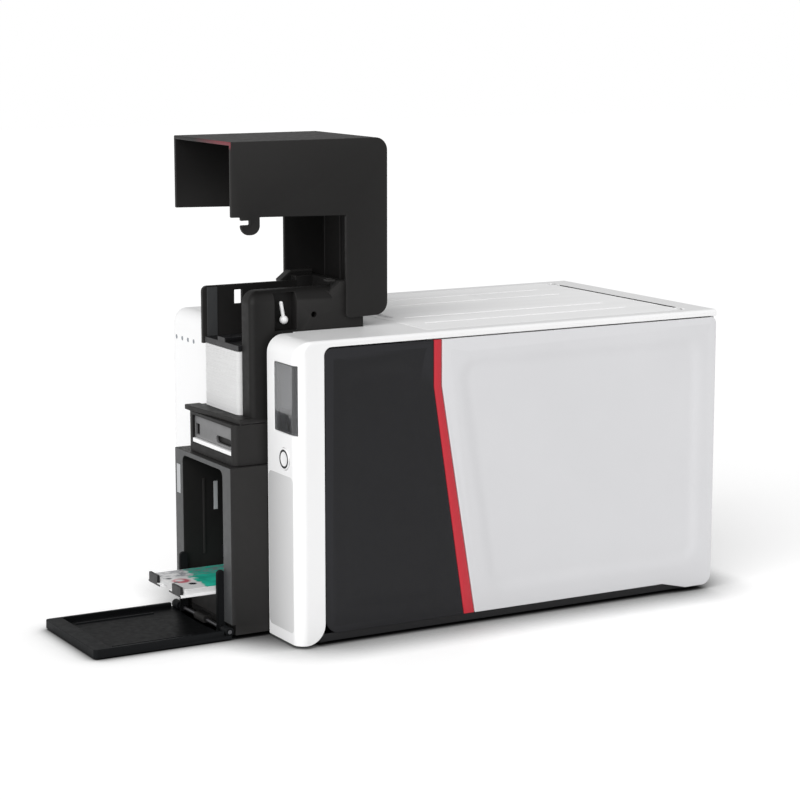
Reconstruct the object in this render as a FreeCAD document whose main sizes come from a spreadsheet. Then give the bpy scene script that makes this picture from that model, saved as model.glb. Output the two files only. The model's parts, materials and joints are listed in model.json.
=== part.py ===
"""Desktop card printer: a box with a card feeder and an output hopper at its front.

+Z is up, the feeder end faces -Y, and the origin is the middle of the footprint at rest,
on the plane the feet stand on. The model rests with the feeder cover and hopper door open.
"""
import FreeCAD, Part
import math
import os
import re

import Sketcher

V = FreeCAD.Vector

# Driving sizes in millimetres, piece by piece
SIZES = {
    # Box and its walls
    "box_length": 347, "box_width": 205, "box_top": 211, "shell_wall": 3, "shell_lift": 2,
    "front_edge_round": 12, "corner_round": 8, "corner_inside": 3, "top_edge_round": 2.5,
    "return_round": 14,
    # Clearances shared by every piece
    "slip": 0.3, "seam": 0.6, "running_gap": 0.08, "overrun": 6,
    # Base and feet
    "base_wall": 2.5, "base_height": 5.7, "base_inset": 3.3,
    "foot_radius": 8, "foot_height": 2.5, "foot_inset_x": 17, "foot_inset_y": 20,
    # Side panels and the slanted strip between them
    "return_depth": 21, "panel_thick": 2.6, "panel_drop": 5.6, "panel_bottom": 8.5,
    "panel_heel": 5, "heel_start": 44.5, "heel_end": 23.5, "panel_round": 5,
    "dark_foot_round": 10, "pale_foot_round": 8, "panel_lip_gap": 0.9,
    "strip_top_back": 105.7, "strip_foot_back": 130.7, "strip_knee_drop": 38,
    "strip_top_width": 7, "strip_foot_width": 9.5, "strip_thick": 2, "panel_seam": 0.5,
    # Tower: everything in front of the box shares its middle and width
    "tower_side": 45.5, "tower_width": 92, "tower_gap": 1,
    # Cards
    "card_width": 54, "card_length": 85.6, "card_thick": 0.76, "card_slack": 1,
    "blank_count": 58, "printed_count": 5, "card_corner": 3.18,
    # Hopper
    "hopper_stand": 28, "hopper_depth": 91.5, "hopper_top_drop": 90.5, "hopper_lift": 3,
    "hopper_cavity": 66, "hopper_head": 3.5, "hopper_skin": 3, "cavity_round": 5,
    "hopper_deck": 26.2, "deck_setback": 2.5, "outlet_height": 8, "outlet_drop": 1,
    "slot_back": 23.9, "slot_width": 3.4, "slot_height": 20.7, "slot_drop": 21,
    # Output door
    "door_length": 100, "door_plate": 3, "door_lift": 1, "door_rim": 3.2, "rim_wall": 3,
    "door_lip": 12, "door_hinge_out": 1.5, "door_hinge_z": 6, "knuckle_radius": 3.2,
    "knuckle_length": 9, "door_pin_radius": 1.5, "lug_width": 16, "door_swing_gap": 1.2,
    "arm_height": 41, "arm_width": 6, "arm_thick": 3, "arm_gap": 0.5, "door_corner": 3,
    # Output tray and printed cards
    "tray_out": 28, "tray_plate": 2, "tray_width": 56, "stop_thick": 2, "stop_width": 14.5,
    "stop_height": 5.5,
    # Card feeder
    "feeder_stand": 13, "column_setback": 3.4, "feeder_floor_drop": 58, "floor_thick": 3.5,
    "feeder_rise": 29,
    "cover_wall": 2.6, "cover_slip": 1.2, "feeder_wall": 3, "feeder_back_wall": 3,
    "feeder_round": 4, "feeder_head_round": 9, "finger_cut_back": 38, "finger_cut_drop": 43.5,
    "gate_height": 2.5, "spy_slot_back": 25, "spy_slot_width": 6, "spy_slot_height": 10,
    "spy_slot_drop": 4, "carrier_front": 16.7, "carrier_boss": 8.3, "carrier_clear": 1,
    "gusset_foot": 26, "gusset_head": 17.5, "gusset_rise": 3.5, "gusset_wide": 8,
    "flange_out": 24.8, "flange_corner": 4, "flange_right_out": 18.8, "side_hole_back": 52,
    "side_hole_radius": 2, "side_hole_drop": 18.2, "pocket_front": 9.1, "pocket_rear": 7.6,
    "pocket_low": 7, "pocket_high": 19, "pocket_depth": 9,
    # Card thickness lever
    "lever_back": 31, "lever_drop": 21, "lever_ball": 3, "lever_stem": 1.3,
    "lever_length": 11.8, "lever_pin": 1.2, "lever_inset": 1.8, "lever_tilt": 10,
    # Feeder base below the floor
    "base_stand": 23.5, "base_depth": 67, "feeder_base_wall": 3, "recess_depth": 4,
    "recess_side": 4, "recess_head": 2.4, "plate_thick": 1.8, "bar_height": 2.9, "bar_lift": 6.8,
    "eye_width": 6.5, "eye_height": 7.5, "eye_side": 1.6, "eye_foot": 3,
    "oval_length": 24, "oval_height": 5, "oval_side": 3.6, "oval_foot": 2.4,
    # Card weight
    "weight_thick": 4, "weight_rib": 3, "weight_rib_width": 12,
    # Feeder cover, given where it lies when shut
    "cover_stand": 32.6, "cover_rise": 9.5, "cover_pivot_back": 77.4, "cover_pivot_drop": 8,
    "cover_hem_drop": 82,
    "cover_front_leg": 50.5, "cover_top_leg": 32.6, "cover_heel_gap": 14, "cover_arm_slant": 2.2,
    "cover_heel_slant": 1, "cover_far_edge": 2.8, "cover_far_foot": 12,
    "cover_round": 9, "cover_heel_round": 9, "cover_heel_corner": 3,
    "cover_pin_radius": 3, "cover_pin_skin": 0.8, "cover_pin_grip": 9,
    "hook_back": 7.2, "hook_width": 14.4, "hook_drop": 12.4, "hook_stem": 7.9, "hook_slot": 3,
    "hook_slot_drop": 2.4, "hook_round": 6.4,
    # Opening of the box round the feeder
    "notch_depth": 22, "inner_notch_gap": 0.8,
    # Top lid
    "lid_front_back": 107.5, "lid_hinge_back": 22.5, "lid_hinge_drop": 2.5, "lid_side": 12.5,
    "lid_thick": 3, "lid_rim": 10, "lid_rim_wall": 2, "lid_knuckle": 2.4, "lid_pin": 1.2,
    "lid_knuckle_length": 18, "lid_knuckle_side": 21, "lid_lug_length": 5, "lid_open_gap": 3.2,
    "lid_relief": 3, "lid_grip_width": 30, "lid_grip_depth": 9, "lid_grip_drop": 1.4,
    # Front strip: window, button and lamps
    "window_drop": 16.6, "window_height": 46.9, "window_side": 3, "window_width": 30.5,
    "lens_thick": 3, "backing_gap": 4, "backing_wall": 1.5, "flag_width": 10,
    "flag_height": 15, "flag_thick": 2.5, "button_side": 18.9, "button_drop": 18.1,
    "button_radius": 7.4, "button_proud": 0.6, "button_flange": 1.4, "flange_thick": 1.5,
    "button_travel": 1.5, "button_tail": 0.7, "board_thick": 1.6, "switch_size": 6,
    "panel_board_width": 26, "panel_board_height": 30, "post_radius": 3,
    "lamp_radius": 1.6, "lamp_side": 10.5, "lamp_spread": 5.7, "lamp_count": 4, "lamp_drop": 20,
    # Steel side frames
    "frame_plate": 2, "frame_side_left": 13, "frame_side_right": 11, "frame_front_back": 45.5,
    "frame_rear_gap": 22, "frame_drop": 16, "tie_radius": 3, "tie_low_z": 24,
    "tie_mid_drop": 24.5,
    # Transport rollers and belt
    "roller_radius": 8, "shaft_radius": 3, "roller_side": 3, "pulley_radius": 7.5,
    "pulley_width": 4, "belt_gap": 0.25, "belt_thick": 1.2, "belt_out": 1.6,
    "pickup_back": 54.5, "feed_back": 98.5, "platen_back": 173.5, "exit_back": 296,
    "relay_back": 235, "cleaner_radius": 7, "cleaner_shaft": 2, "pickup_width": 24,
    "platen_pulley": 10, "motor_pulley": 6, "motor_back": 214.5, "motor_drop": 53,
    "motor_size": 42, "motor_length": 34, "motor_shaft": 2.5, "rail_thick": 1.6,
    "rail_lip": 5, "rail_inset": 2, "rail_front_back": 78, "rail_rear_gap": 28,
    # Ribbon cassette and print head
    "spool_drop": 33, "supply_back": 211.5, "takeup_back": 135.5, "supply_radius": 15,
    "takeup_radius": 9, "core_radius": 5, "spindle_radius": 2.5, "cassette_wall": 3,
    "cassette_side": 4, "cassette_end": 10, "cassette_drop": 17, "cassette_bar": 3,
    "ribbon_thick": 0.3, "head_width": 54, "head_depth": 16, "head_gap": 2.2,
    "head_height": 10.8, "nose_half": 2, "nose_drop": 3.4, "fin_count": 5, "fin_thick": 1.4,
    "fin_height": 12,
    "bracket_thick": 2, "bracket_width": 40, "ribbon_motor_radius": 11,
    "ribbon_motor_length": 22,
    # Electronics and rear sockets
    "board_side": 9, "board_front_back": 113.5, "board_rear_gap": 53.5, "board_top": 124,
    "chip_size": 16, "chip_thick": 3, "chip_margin": 12, "chip_count": 4,
    "socket_z": 26, "socket_depth": 14, "usb_side": 50.5, "usb_width": 12, "usb_height": 11,
    "net_pitch": 24, "net_width": 16, "net_height": 13.6, "socket_wall": 1.4,
    "inlet_pitch": 19, "inlet_width": 15, "inlet_height": 13, "inlet_hole": 4, "inlet_pin": 1.1,
    "rocker_side": 23.5, "rocker_length": 12, "rocker_barrel": 6, "paddle_half": 8.5,
    "paddle_out": 5.5, "paddle_in": 3, "rocker_tilt": 9, "rocker_sink": 1, "rocker_window": 9.8,
    "rocker_skin": 2,
    "reject_width": 60, "reject_height": 6, "vent_count": 7, "vent_pitch": 6,
    "vent_width": 2.4, "vent_height": 40, "vent_z": 92, "screw_head": 2.8, "screw_shank": 1.4,
    "screw_inset": 9, "screw_low": 16, "screw_drop": 15, "head_sink": 1.3, "screw_length": 8,
}

# Places worked out from the driving sizes
PLACES = {
    "side_x": "box_width / 2",
    "front_y": "(hopper_stand + door_hinge_out + door_length - box_length) / 2",
    "rear_y": "front_y + box_length",
    "wall_x": "side_x - shell_wall",
    "wall_top": "box_top - shell_wall",
    "base_floor": "foot_height + base_wall",
    "return_y": "front_y + return_depth",
    "panel_window_round": "panel_round + seam",
    "panel_top": "box_top - panel_drop",
    "strip_knee_z": "box_top - strip_knee_drop",
    "feeder_floor": "box_top - feeder_floor_drop",
    "feeder_top": "box_top + feeder_rise",
    "hopper_top": "box_top - hopper_top_drop",
    "tower_right": "side_x - tower_side",
    "tower_left": "tower_right - tower_width",
    "tower_mid": "tower_right - tower_width / 2",
    "card_left": "tower_mid - card_width / 2",
    "card_right": "tower_mid + card_width / 2",
    "channel_left": "card_left - card_slack",
    "channel_right": "card_right + card_slack",
    "hopper_front": "front_y - hopper_stand",
    "hopper_rear": "hopper_front + hopper_depth",
    "cavity_left": "tower_mid - hopper_cavity / 2",
    "cavity_right": "tower_mid + hopper_cavity / 2",
    "cavity_top": "hopper_top - hopper_head",
    "deck_top": "hopper_lift + hopper_deck",
    "door_pivot_y": "hopper_front - door_hinge_out",
    "door_end": "door_pivot_y - door_length",
    "door_top": "door_lift + door_plate",
    "tray_low": "deck_top + slip",
    "tray_top": "tray_low + tray_plate",
    "tray_front": "hopper_front - tray_out",
    "tray_left": "tower_mid - tray_width / 2",
    "tray_right": "tower_mid + tray_width / 2",
    "feeder_front": "front_y - feeder_stand",
    "feeder_left": "channel_left - feeder_wall",
    "feeder_right": "tower_right - cover_wall - cover_slip",
    "carrier_left": "tower_left + cover_wall + cover_slip",
    "channel_rear": "feeder_front + card_length + 2 * card_slack",
    "feeder_rear": "channel_rear + feeder_back_wall",
    "floor_under": "feeder_floor - floor_thick",
    "finger_cut_top": "feeder_top - finger_cut_drop",
    "column_front": "feeder_front + column_setback",
    "carrier_bottom": "box_top + carrier_clear",
    "feeder_base_front": "front_y - base_stand",
    "feeder_base_low": "hopper_top + slip",
    "bar_low": "feeder_base_low + bar_lift",
    "stack_low": "feeder_floor + slip",
    "stack_high": "stack_low + blank_count * card_thick",
    "pivot_y": "front_y + cover_pivot_back",
    "cover_pivot_z": "feeder_top - cover_pivot_drop",
    "cover_top": "feeder_top + cover_rise",
    "cover_reach": "pivot_y - front_y + cover_stand",
    "open_top": "cover_pivot_z + cover_reach",
    "open_rear": "pivot_y + cover_top - cover_pivot_z",
    "open_front": "pivot_y - cover_pivot_z + box_top - cover_hem_drop + 2 * slip",
    "open_low": "cover_pivot_z - cover_heel_gap",
    "open_under": "open_top - cover_front_leg",
    "open_inner": "open_rear - cover_top_leg",
    "far_inner": "open_inner - cover_far_edge",
    "lid_front": "front_y + lid_front_back",
    "lid_hinge_y": "rear_y - lid_hinge_back",
    "lid_hinge_z": "box_top - lid_hinge_drop",
    "lid_x": "side_x - lid_side",
    "lid_knuckle_mid": "lid_x - lid_knuckle_side",
    "window_high": "box_top - window_drop",
    "window_low": "window_high - window_height",
    "window_outer": "side_x - window_side",
    "window_inner": "window_outer - window_width",
    "button_x": "side_x - button_side",
    "button_z": "window_low - button_drop",
    "lamp_first": "lamp_side - side_x",
    "lamp_pitch": "(tower_left - lamp_first) / lamp_spread",
    "lamp_z": "box_top - lamp_drop",
    "lens_back": "front_y + lens_thick",
    "wall_in": "front_y + shell_wall",
    "brow_inside": "front_edge_round - shell_wall",
    "button_back": "wall_in + slip + flange_thick + button_tail",
    "switch_face": "button_back + button_travel + slip",
    "panel_board_y": "switch_face + switch_size / 2",
    "frame_front": "front_y + frame_front_back",
    "frame_rear": "rear_y - frame_rear_gap",
    "frame_left": "channel_left - frame_side_left",
    "frame_right": "channel_right + frame_side_right",
    "frame_high": "wall_top - frame_drop",
    "tie_mid_z": "hopper_top - tie_mid_drop",
    "frame_in_left": "frame_left + frame_plate",
    "axle_z": "feeder_floor - roller_radius",
    "belt_x_high": "frame_left - belt_out",
    "belt_x_low": "belt_x_high - pulley_width",
    "motor_belt_high": "belt_x_low - belt_out",
    "motor_belt_low": "motor_belt_high - pulley_width",
    "motor_y": "front_y + motor_back",
    "motor_z": "feeder_floor - motor_drop",
    "platen_y": "front_y + platen_back",
    "pickup_y": "front_y + pickup_back",
    "feed_y": "front_y + feed_back",
    "relay_y": "front_y + relay_back",
    "exit_y": "front_y + exit_back",
    "supply_y": "front_y + supply_back",
    "takeup_y": "front_y + takeup_back",
    "rail_top": "floor_under + rail_thick",
    "spool_z": "box_top - spool_drop",
    "cassette_high": "box_top - cassette_drop",
    "head_low": "feeder_floor + head_gap",
    "head_high": "head_low + head_height",
    "fin_high": "head_high + fin_height",
    "cassette_left": "channel_left - cassette_side",
    "cassette_right": "channel_right + cassette_side",
    "rear_out": "rear_y - slip",
    "rear_in": "rear_out - shell_wall",
    "lever_x": "feeder_right - lever_inset - lever_ball",
    "lever_z": "feeder_top - lever_drop",
    "lever_y": "feeder_front + lever_back",
    "rocker_y": "rear_out - rocker_sink - rocker_barrel",
    "rocker_mid": "side_x - rocker_side",
    "inlet_mid": "rocker_mid - inlet_pitch",
    "usb_mid": "usb_side - side_x",
    "net_mid": "usb_mid + net_pitch",
    "screw_high": "box_top - screw_drop",
    "board_front": "front_y + board_front_back",
    "board_rear": "rear_y - board_rear_gap",
    "chip_pitch": "(board_rear - board_front - chip_margin) / chip_count",
}

doc = FreeCAD.newDocument("card_printer")
sheet = doc.addObject("Spreadsheet::Sheet", "Sizes")
nodes = []


def fill_sheet():
    """Write every driving size and worked-out place to the sheet, each under its own alias."""
    entries = [(name, str(number)) for name, number in SIZES.items()]
    entries += [(name, "=" + formula) for name, formula in PLACES.items()]
    for row, (name, text) in enumerate(entries, start=1):
        sheet.set(f"A{row}", name)
        sheet.set(f"B{row}", text)
        sheet.setAlias(f"B{row}", name)
    doc.recompute()


def spell(formula):
    """A formula in sheet names as an expression that objects can be bound to."""
    return re.sub(r"\b([a-z][a-z_0-9]*)\b(?!\s*\()", r"Sizes.\1", formula)


def read(name):
    """The number that the sheet holds for a name."""
    return float(sheet.get(name))


def bind(obj, prop, formula):
    obj.setExpression(prop, spell(formula))


def put_base(obj, x, y, z):
    for axis, formula in zip("xyz", (x, y, z)):
        bind(obj, ".Placement.Base." + axis, formula)


def block(name, x, y, z):
    """A box between two planes on each axis."""
    box = doc.addObject("Part::Box", name)
    for prop, (low, high) in zip(("Length", "Width", "Height"), (x, y, z)):
        bind(box, prop, f"({high}) - ({low})")
    put_base(box, x[0], y[0], z[0])
    return box


TURNS = {"x": FreeCAD.Rotation(V(0, 1, 0), 90), "y": FreeCAD.Rotation(V(1, 0, 0), -90),
         "z": FreeCAD.Rotation()}


def rod(name, axis, centre, span, radius):
    """A cylinder along an axis; centre holds its places on the other two axes."""
    low, high = span
    bar = doc.addObject("Part::Cylinder", name)
    bar.Placement = FreeCAD.Placement(V(), TURNS[axis])
    bind(bar, "Radius", radius)
    bind(bar, "Height", f"({high}) - ({low})")
    first, second = centre
    put_base(bar, *{"x": (low, first, second), "y": (first, low, second),
                    "z": (first, second, low)}[axis])
    return bar


def ball(name, centre, radius):
    orb = doc.addObject("Part::Sphere", name)
    bind(orb, "Radius", radius)
    put_base(orb, *centre)
    return orb


def prism(name, plane, outline, span):
    """A body padded across a plane from an outline whose points are pairs of formulas."""
    low, high = span
    body = doc.addObject("PartDesign::Body", name)
    sketch = body.newObject("Sketcher::SketchObject", name + "_outline")
    role = plane + "_Plane"
    sketch.AttachmentSupport = ([f for f in body.Origin.OriginFeatures if f.Role == role][0], [""])
    sketch.MapMode = "FlatFace"
    count = len(outline)
    start = [V(math.cos(2 * math.pi * i / count), math.sin(2 * math.pi * i / count), 0)
             for i in range(count)]
    for i in range(count):
        sketch.addGeometry(Part.LineSegment(start[i], start[(i + 1) % count]), False)
    for i in range(count):
        sketch.addConstraint(Sketcher.Constraint("Coincident", i, 2, (i + 1) % count, 1))
    for i, point in enumerate(outline):
        for kind, formula, first in zip(("DistanceX", "DistanceY"), point, start[i]):
            rule = sketch.addConstraint(Sketcher.Constraint(kind, -1, 1, i, 1, first))
            bind(sketch, f"Constraints[{rule}]", formula)
    pad = body.newObject("PartDesign::Pad", name + "_pad")
    pad.Profile = sketch
    bind(sketch, ".AttachmentOffset.Base.z", f"-({high})" if plane == "XZ" else low)
    bind(pad, "Length", f"({high}) - ({low})")
    return body


def fuse(name, *pieces):
    if len(pieces) == 1:
        return pieces[0]
    joined = doc.addObject("Part::MultiFuse", name)
    joined.Shapes = list(pieces)
    joined.Refine = True
    return joined


def cut(name, base, *tools):
    result = doc.addObject("Part::Cut", name)
    result.Base = base
    result.Tool = fuse(name + "_tools", *tools)
    result.Refine = True
    return result


def group(name, *pieces):
    """Separate solids that share one node."""
    bundle = doc.addObject("Part::Compound", name)
    bundle.Links = list(pieces)
    return bundle


def rounded(name, base, *choices):
    """Round straight edges; each choice is a named radius and a test that picks its edges."""
    doc.recompute()
    picked = []
    for radius, chosen in choices:
        size = read(radius)
        found = [(i, size, size) for i, edge in enumerate(base.Shape.Edges, start=1)
                 if not edge.Degenerated and edge.Curve.TypeId == "Part::GeomLine" and chosen(edge)]
        if not found:
            raise RuntimeError("no edge to round on " + name)
        picked += found
    feature = doc.addObject("Part::Fillet", name)
    feature.Base = base
    feature.Edges = picked
    return feature


def runs_along(edge, axis):
    """True for a straight edge that lies along an axis."""
    start, end = edge.Vertexes[0].Point, edge.Vertexes[-1].Point
    step = end - start
    return abs(getattr(step, axis)) > (1 - 1e-6) * step.Length


def near(number, name):
    return abs(number - read(name)) < read("running_gap")


def at(edge, **planes):
    """True where an edge lies on the named planes, such as x='side_x'."""
    middle = edge.CenterOfMass
    return all(near(getattr(middle, axis), name) for axis, name in planes.items())


def node(obj, label):
    obj.Label = label
    nodes.append(obj)
    return obj


def both_sides(x):
    """A span on the near side and its mirror on the far side."""
    low, high = x
    return (("near", (low, high)), ("far", (f"-({high})", f"-({low})")))


# Casing

def make_base():
    outer = block("base_outer", ("-side_x + base_inset", "side_x - base_inset"),
                  ("return_y - base_inset", "rear_y - base_inset"),
                  ("foot_height", "foot_height + base_height"))
    inner = block("base_inner", ("-side_x + base_inset + base_wall", "side_x - base_inset - base_wall"),
                  ("return_y - base_inset + base_wall", "rear_y - base_inset - base_wall"),
                  ("base_floor", "foot_height + base_height + overrun"))
    well = block("base_well", ("tower_left - tower_gap", "tower_right + tower_gap"),
                 ("return_y - overrun", "hopper_rear + tower_gap"),
                 ("foot_height - overrun", "foot_height + base_height + overrun"))
    node(cut("base_tray", outer, inner, well), "base_tray")
    feet = []
    for x_sign in ("-", ""):
        for y in ("front_y + foot_inset_y + base_inset", "rear_y - foot_inset_y"):
            pad = rod("foot", "z", (f"{x_sign}(side_x - foot_inset_x)", y), ("0", "foot_height"),
                      "foot_radius")
            feet.append(pad)
    node(group("rubber_feet", *feet), "rubber_feet")


def make_main_cover():
    outer = block("cover_box", ("-side_x", "side_x"), ("front_y", "rear_y"), ("shell_lift", "box_top"))
    soft = rounded("cover_corners", outer,
                   ("corner_round", lambda e: runs_along(e, "z") and at(e, y="front_y")),
                   ("front_edge_round",
                    lambda e: runs_along(e, "x") and at(e, y="front_y", z="box_top")),
                   ("top_edge_round", lambda e: runs_along(e, "y") and at(e, z="box_top")))
    inner = block("cover_room", ("-wall_x", "wall_x"), ("wall_in", "rear_y + overrun"),
                  ("shell_lift - overrun", "wall_top"))
    inner = rounded("cover_hollow", inner,
                    ("corner_inside", lambda e: runs_along(e, "z") and at(e, y="wall_in")),
                    ("brow_inside", lambda e: runs_along(e, "x") and at(e, y="wall_in", z="wall_top")))
    windows = []
    for side, span in both_sides(("wall_x - overrun", "side_x + overrun")):
        window = block("panel_window_" + side, span, ("return_y", "rear_y + overrun"),
                       ("shell_lift - overrun", "panel_top + panel_lip_gap"))
        windows.append(rounded("panel_corner_" + side, window,
                               ("panel_window_round",
                                lambda e: runs_along(e, "x") and e.CenterOfMass.z > read("panel_top")
                                and at(e, y="return_y"))))
    mouth = block("tower_mouth", ("tower_left - tower_gap", "tower_right + tower_gap"),
                  ("front_y - overrun", "front_y + notch_depth"),
                  ("shell_lift - overrun", "box_top + overrun"))
    throat = block("feeder_throat", ("feeder_left - inner_notch_gap", "feeder_right + inner_notch_gap"),
                   ("front_y", "feeder_rear + seam"), ("wall_top - overrun", "box_top + overrun"))
    lid_hole = block("lid_hole", ("-lid_x - seam", "lid_x + seam"),
                     ("lid_front - seam", "lid_hinge_y + lid_open_gap"),
                     ("wall_top - overrun", "box_top + overrun"))
    lens_hole = block("lens_hole", ("window_inner - slip", "window_outer + slip"),
                      ("front_y - overrun", "wall_in + slip"),
                      ("window_low - slip", "window_high + slip"))
    button_hole = rod("button_hole", "y", ("button_x", "button_z"),
                      ("front_y - overrun", "wall_in + overrun"), "button_radius + slip")
    lamp_holes = [rod("lamp_hole", "y", (f"lamp_first + {i} * lamp_pitch", "lamp_z"),
                      ("front_y - overrun", "wall_in + overrun"), "lamp_radius")
                  for i in range(SIZES["lamp_count"])]
    posts = [rod("board_post", "y", (x, z), ("wall_in - slip", "panel_board_y"), "post_radius")
             for x, z in (("button_x - panel_board_width / 2 + post_radius",
                           "button_z - panel_board_height / 2 + post_radius"),
                          ("button_x + panel_board_width / 2 - post_radius",
                           "button_z - panel_board_height / 2 + post_radius"))]
    lugs = []
    for side, span in both_sides(("lid_knuckle_mid + lid_knuckle_length / 2 + slip",
                                  "lid_knuckle_mid + lid_knuckle_length / 2 + slip + lid_lug_length")):
        lugs.append(rod("lid_lug_" + side, "x", ("lid_hinge_y", "lid_hinge_z"), span, "lid_knuckle"))
        lugs.append(block("lid_web_" + side, span,
                          ("lid_hinge_y", "lid_hinge_y + lid_open_gap + shell_wall"),
                          ("lid_hinge_z - lid_knuckle", "lid_hinge_z + lid_knuckle")))
    pin_bore = rod("lid_pin_bore", "x", ("lid_hinge_y", "lid_hinge_z"), ("-lid_x", "lid_x"), "lid_pin")
    shell = cut("cover_shell", soft, inner, *windows, mouth, throat, lid_hole, lens_hole,
                button_hole, *lamp_holes)
    whole = cut("cover_bored", fuse("cover_with_lugs", shell, *posts, *lugs), pin_bore)
    whole = rounded("main_cover_foot", whole, ("return_round",
                    lambda e: runs_along(e, "x") and at(e, y="return_y", z="shell_lift")))
    node(whole, "main_cover")


def make_side_panels():
    """The dark panel, the slanted strip and the pale panel on each side of the box."""
    edge = {
        "front": "return_y + seam", "rear": "rear_y - slip", "top": "panel_top",
        "low": "panel_bottom",
        "strip_top": "front_y + strip_top_back", "strip_foot": "front_y + strip_foot_back",
    }
    strip_high = f"{edge['strip_top']} + strip_top_width"
    strip_low = f"{edge['strip_foot']} + strip_foot_width"
    dark = [(edge["front"], edge["low"]), (edge["strip_foot"], edge["low"]),
            (edge["strip_top"], "strip_knee_z"), (edge["strip_top"], edge["top"]),
            (edge["front"], edge["top"])]
    strip = [(edge["strip_foot"] + " + panel_seam", edge["low"]),
             (strip_low + " - panel_seam", edge["low"]),
             (strip_high + " - panel_seam", "strip_knee_z"),
             (strip_high + " - panel_seam", edge["top"]),
             (edge["strip_top"] + " + panel_seam", edge["top"]),
             (edge["strip_top"] + " + panel_seam", "strip_knee_z")]
    pale = [(strip_low, edge["low"]), ("rear_y - heel_start", edge["low"]),
            ("rear_y - heel_end", edge["low"] + " - panel_heel"),
            (edge["rear"], edge["low"] + " - panel_heel"), (edge["rear"], edge["top"]),
            (strip_high, edge["top"]), (strip_high, "strip_knee_z")]
    for side, span in both_sides(("side_x - panel_thick", "side_x")):
        body = prism(f"dark_body_{side}", "YZ", dark, span)
        body = rounded(f"dark_round_{side}", body,
                       ("panel_round", lambda e: front_corner(e) and at(e, z="panel_top")),
                       ("dark_foot_round", lambda e: front_corner(e) and at(e, z="panel_bottom")))
        node(body, f"dark_panel_{side}")
        inset = "panel_thick - strip_thick"
        low, high = span
        strip_span = (low, f"{high} - ({inset})") if side == "near" else (f"{low} + {inset}", high)
        node(prism(f"accent_strip_{side}", "YZ", strip, strip_span), f"accent_strip_{side}")
        body = prism(f"pale_body_{side}", "YZ", pale, span)
        body = rounded(f"pale_round_{side}", body,
                       ("panel_round", lambda e: rear_corner(e) and at(e, z="panel_top")),
                       ("pale_foot_round", lambda e: rear_corner(e) and not at(e, z="panel_top")))
        node(body, f"pale_panel_{side}")


def front_corner(edge):
    """True for a panel's corner edge beside the front return."""
    return runs_along(edge, "x") and near(edge.CenterOfMass.y - read("seam"), "return_y")


def rear_corner(edge):
    return runs_along(edge, "x") and near(edge.CenterOfMass.y + read("slip"), "rear_y")


def make_rear_cover():
    plate = block("rear_plate", ("-wall_x + slip", "wall_x - slip"),
                  ("rear_in", "rear_out"), ("foot_height + base_height + slip", "wall_top - slip"))
    tools = []
    for name, mid, width, height in (("usb", "usb_mid", "usb_width", "usb_height"),
                                     ("net", "net_mid", "net_width", "net_height"),
                                     ("inlet", "inlet_mid", "inlet_width", "inlet_height")):
        tools.append(block(name + "_hole",
                           (f"{mid} - {width} / 2 - slip", f"{mid} + {width} / 2 + slip"),
                           ("rear_in - overrun", "rear_y + overrun"),
                           (f"socket_z - {height} / 2 - slip", f"socket_z + {height} / 2 + slip")))
    tools.append(block("rocker_hole", ("rocker_mid - rocker_length / 2 - slip",
                                       "rocker_mid + rocker_length / 2 + slip"),
                       ("rear_in - overrun", "rear_y + overrun"),
                       ("socket_z - rocker_window", "socket_z + rocker_window")))
    tools.append(block("reject_hole", ("tower_mid - reject_width / 2", "tower_mid + reject_width / 2"),
                       ("rear_in - overrun", "rear_y + overrun"),
                       ("feeder_floor - reject_height / 2", "feeder_floor + reject_height / 2")))
    for i in range(SIZES["vent_count"]):
        mid = f"-side_x / 2 + {i} * vent_pitch"
        tools.append(block("vent", (f"{mid} - vent_width / 2", f"{mid} + vent_width / 2"),
                           ("rear_in - overrun", "rear_y + overrun"),
                           ("vent_z - vent_height / 2", "vent_z + vent_height / 2")))
    screws = []
    for x_sign in ("-", ""):
        for z in ("screw_low", "screw_high"):
            centre = (f"{x_sign}(side_x - panel_thick - screw_inset)", z)
            tools.append(rod("screw_sink", "y", centre, ("rear_out - head_sink", "rear_y + overrun"),
                             "screw_head + slip"))
            tools.append(rod("screw_bore", "y", centre, ("rear_in - overrun", "rear_out"),
                             "screw_shank + running_gap"))
            head = rod("screw_top", "y", centre, ("rear_out - head_sink", "rear_out"), "screw_head")
            shank = rod("screw_stem", "y", centre, ("rear_out - screw_length", "rear_out - slip"),
                        "screw_shank")
            slot = block("screw_slot", (f"{centre[0]} - screw_head", f"{centre[0]} + screw_head"),
                         ("rear_out - head_sink / 2", "rear_y + overrun"),
                         (f"{z} - screw_shank / 2", f"{z} + screw_shank / 2"))
            screws.append(cut("case_screw", fuse("screw_blank", head, shank), slot))
    node(cut("rear_cover", plate, *tools), "rear_cover")
    node(group("case_screws", *screws), "case_screws")


# Hopper, door and tray

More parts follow.
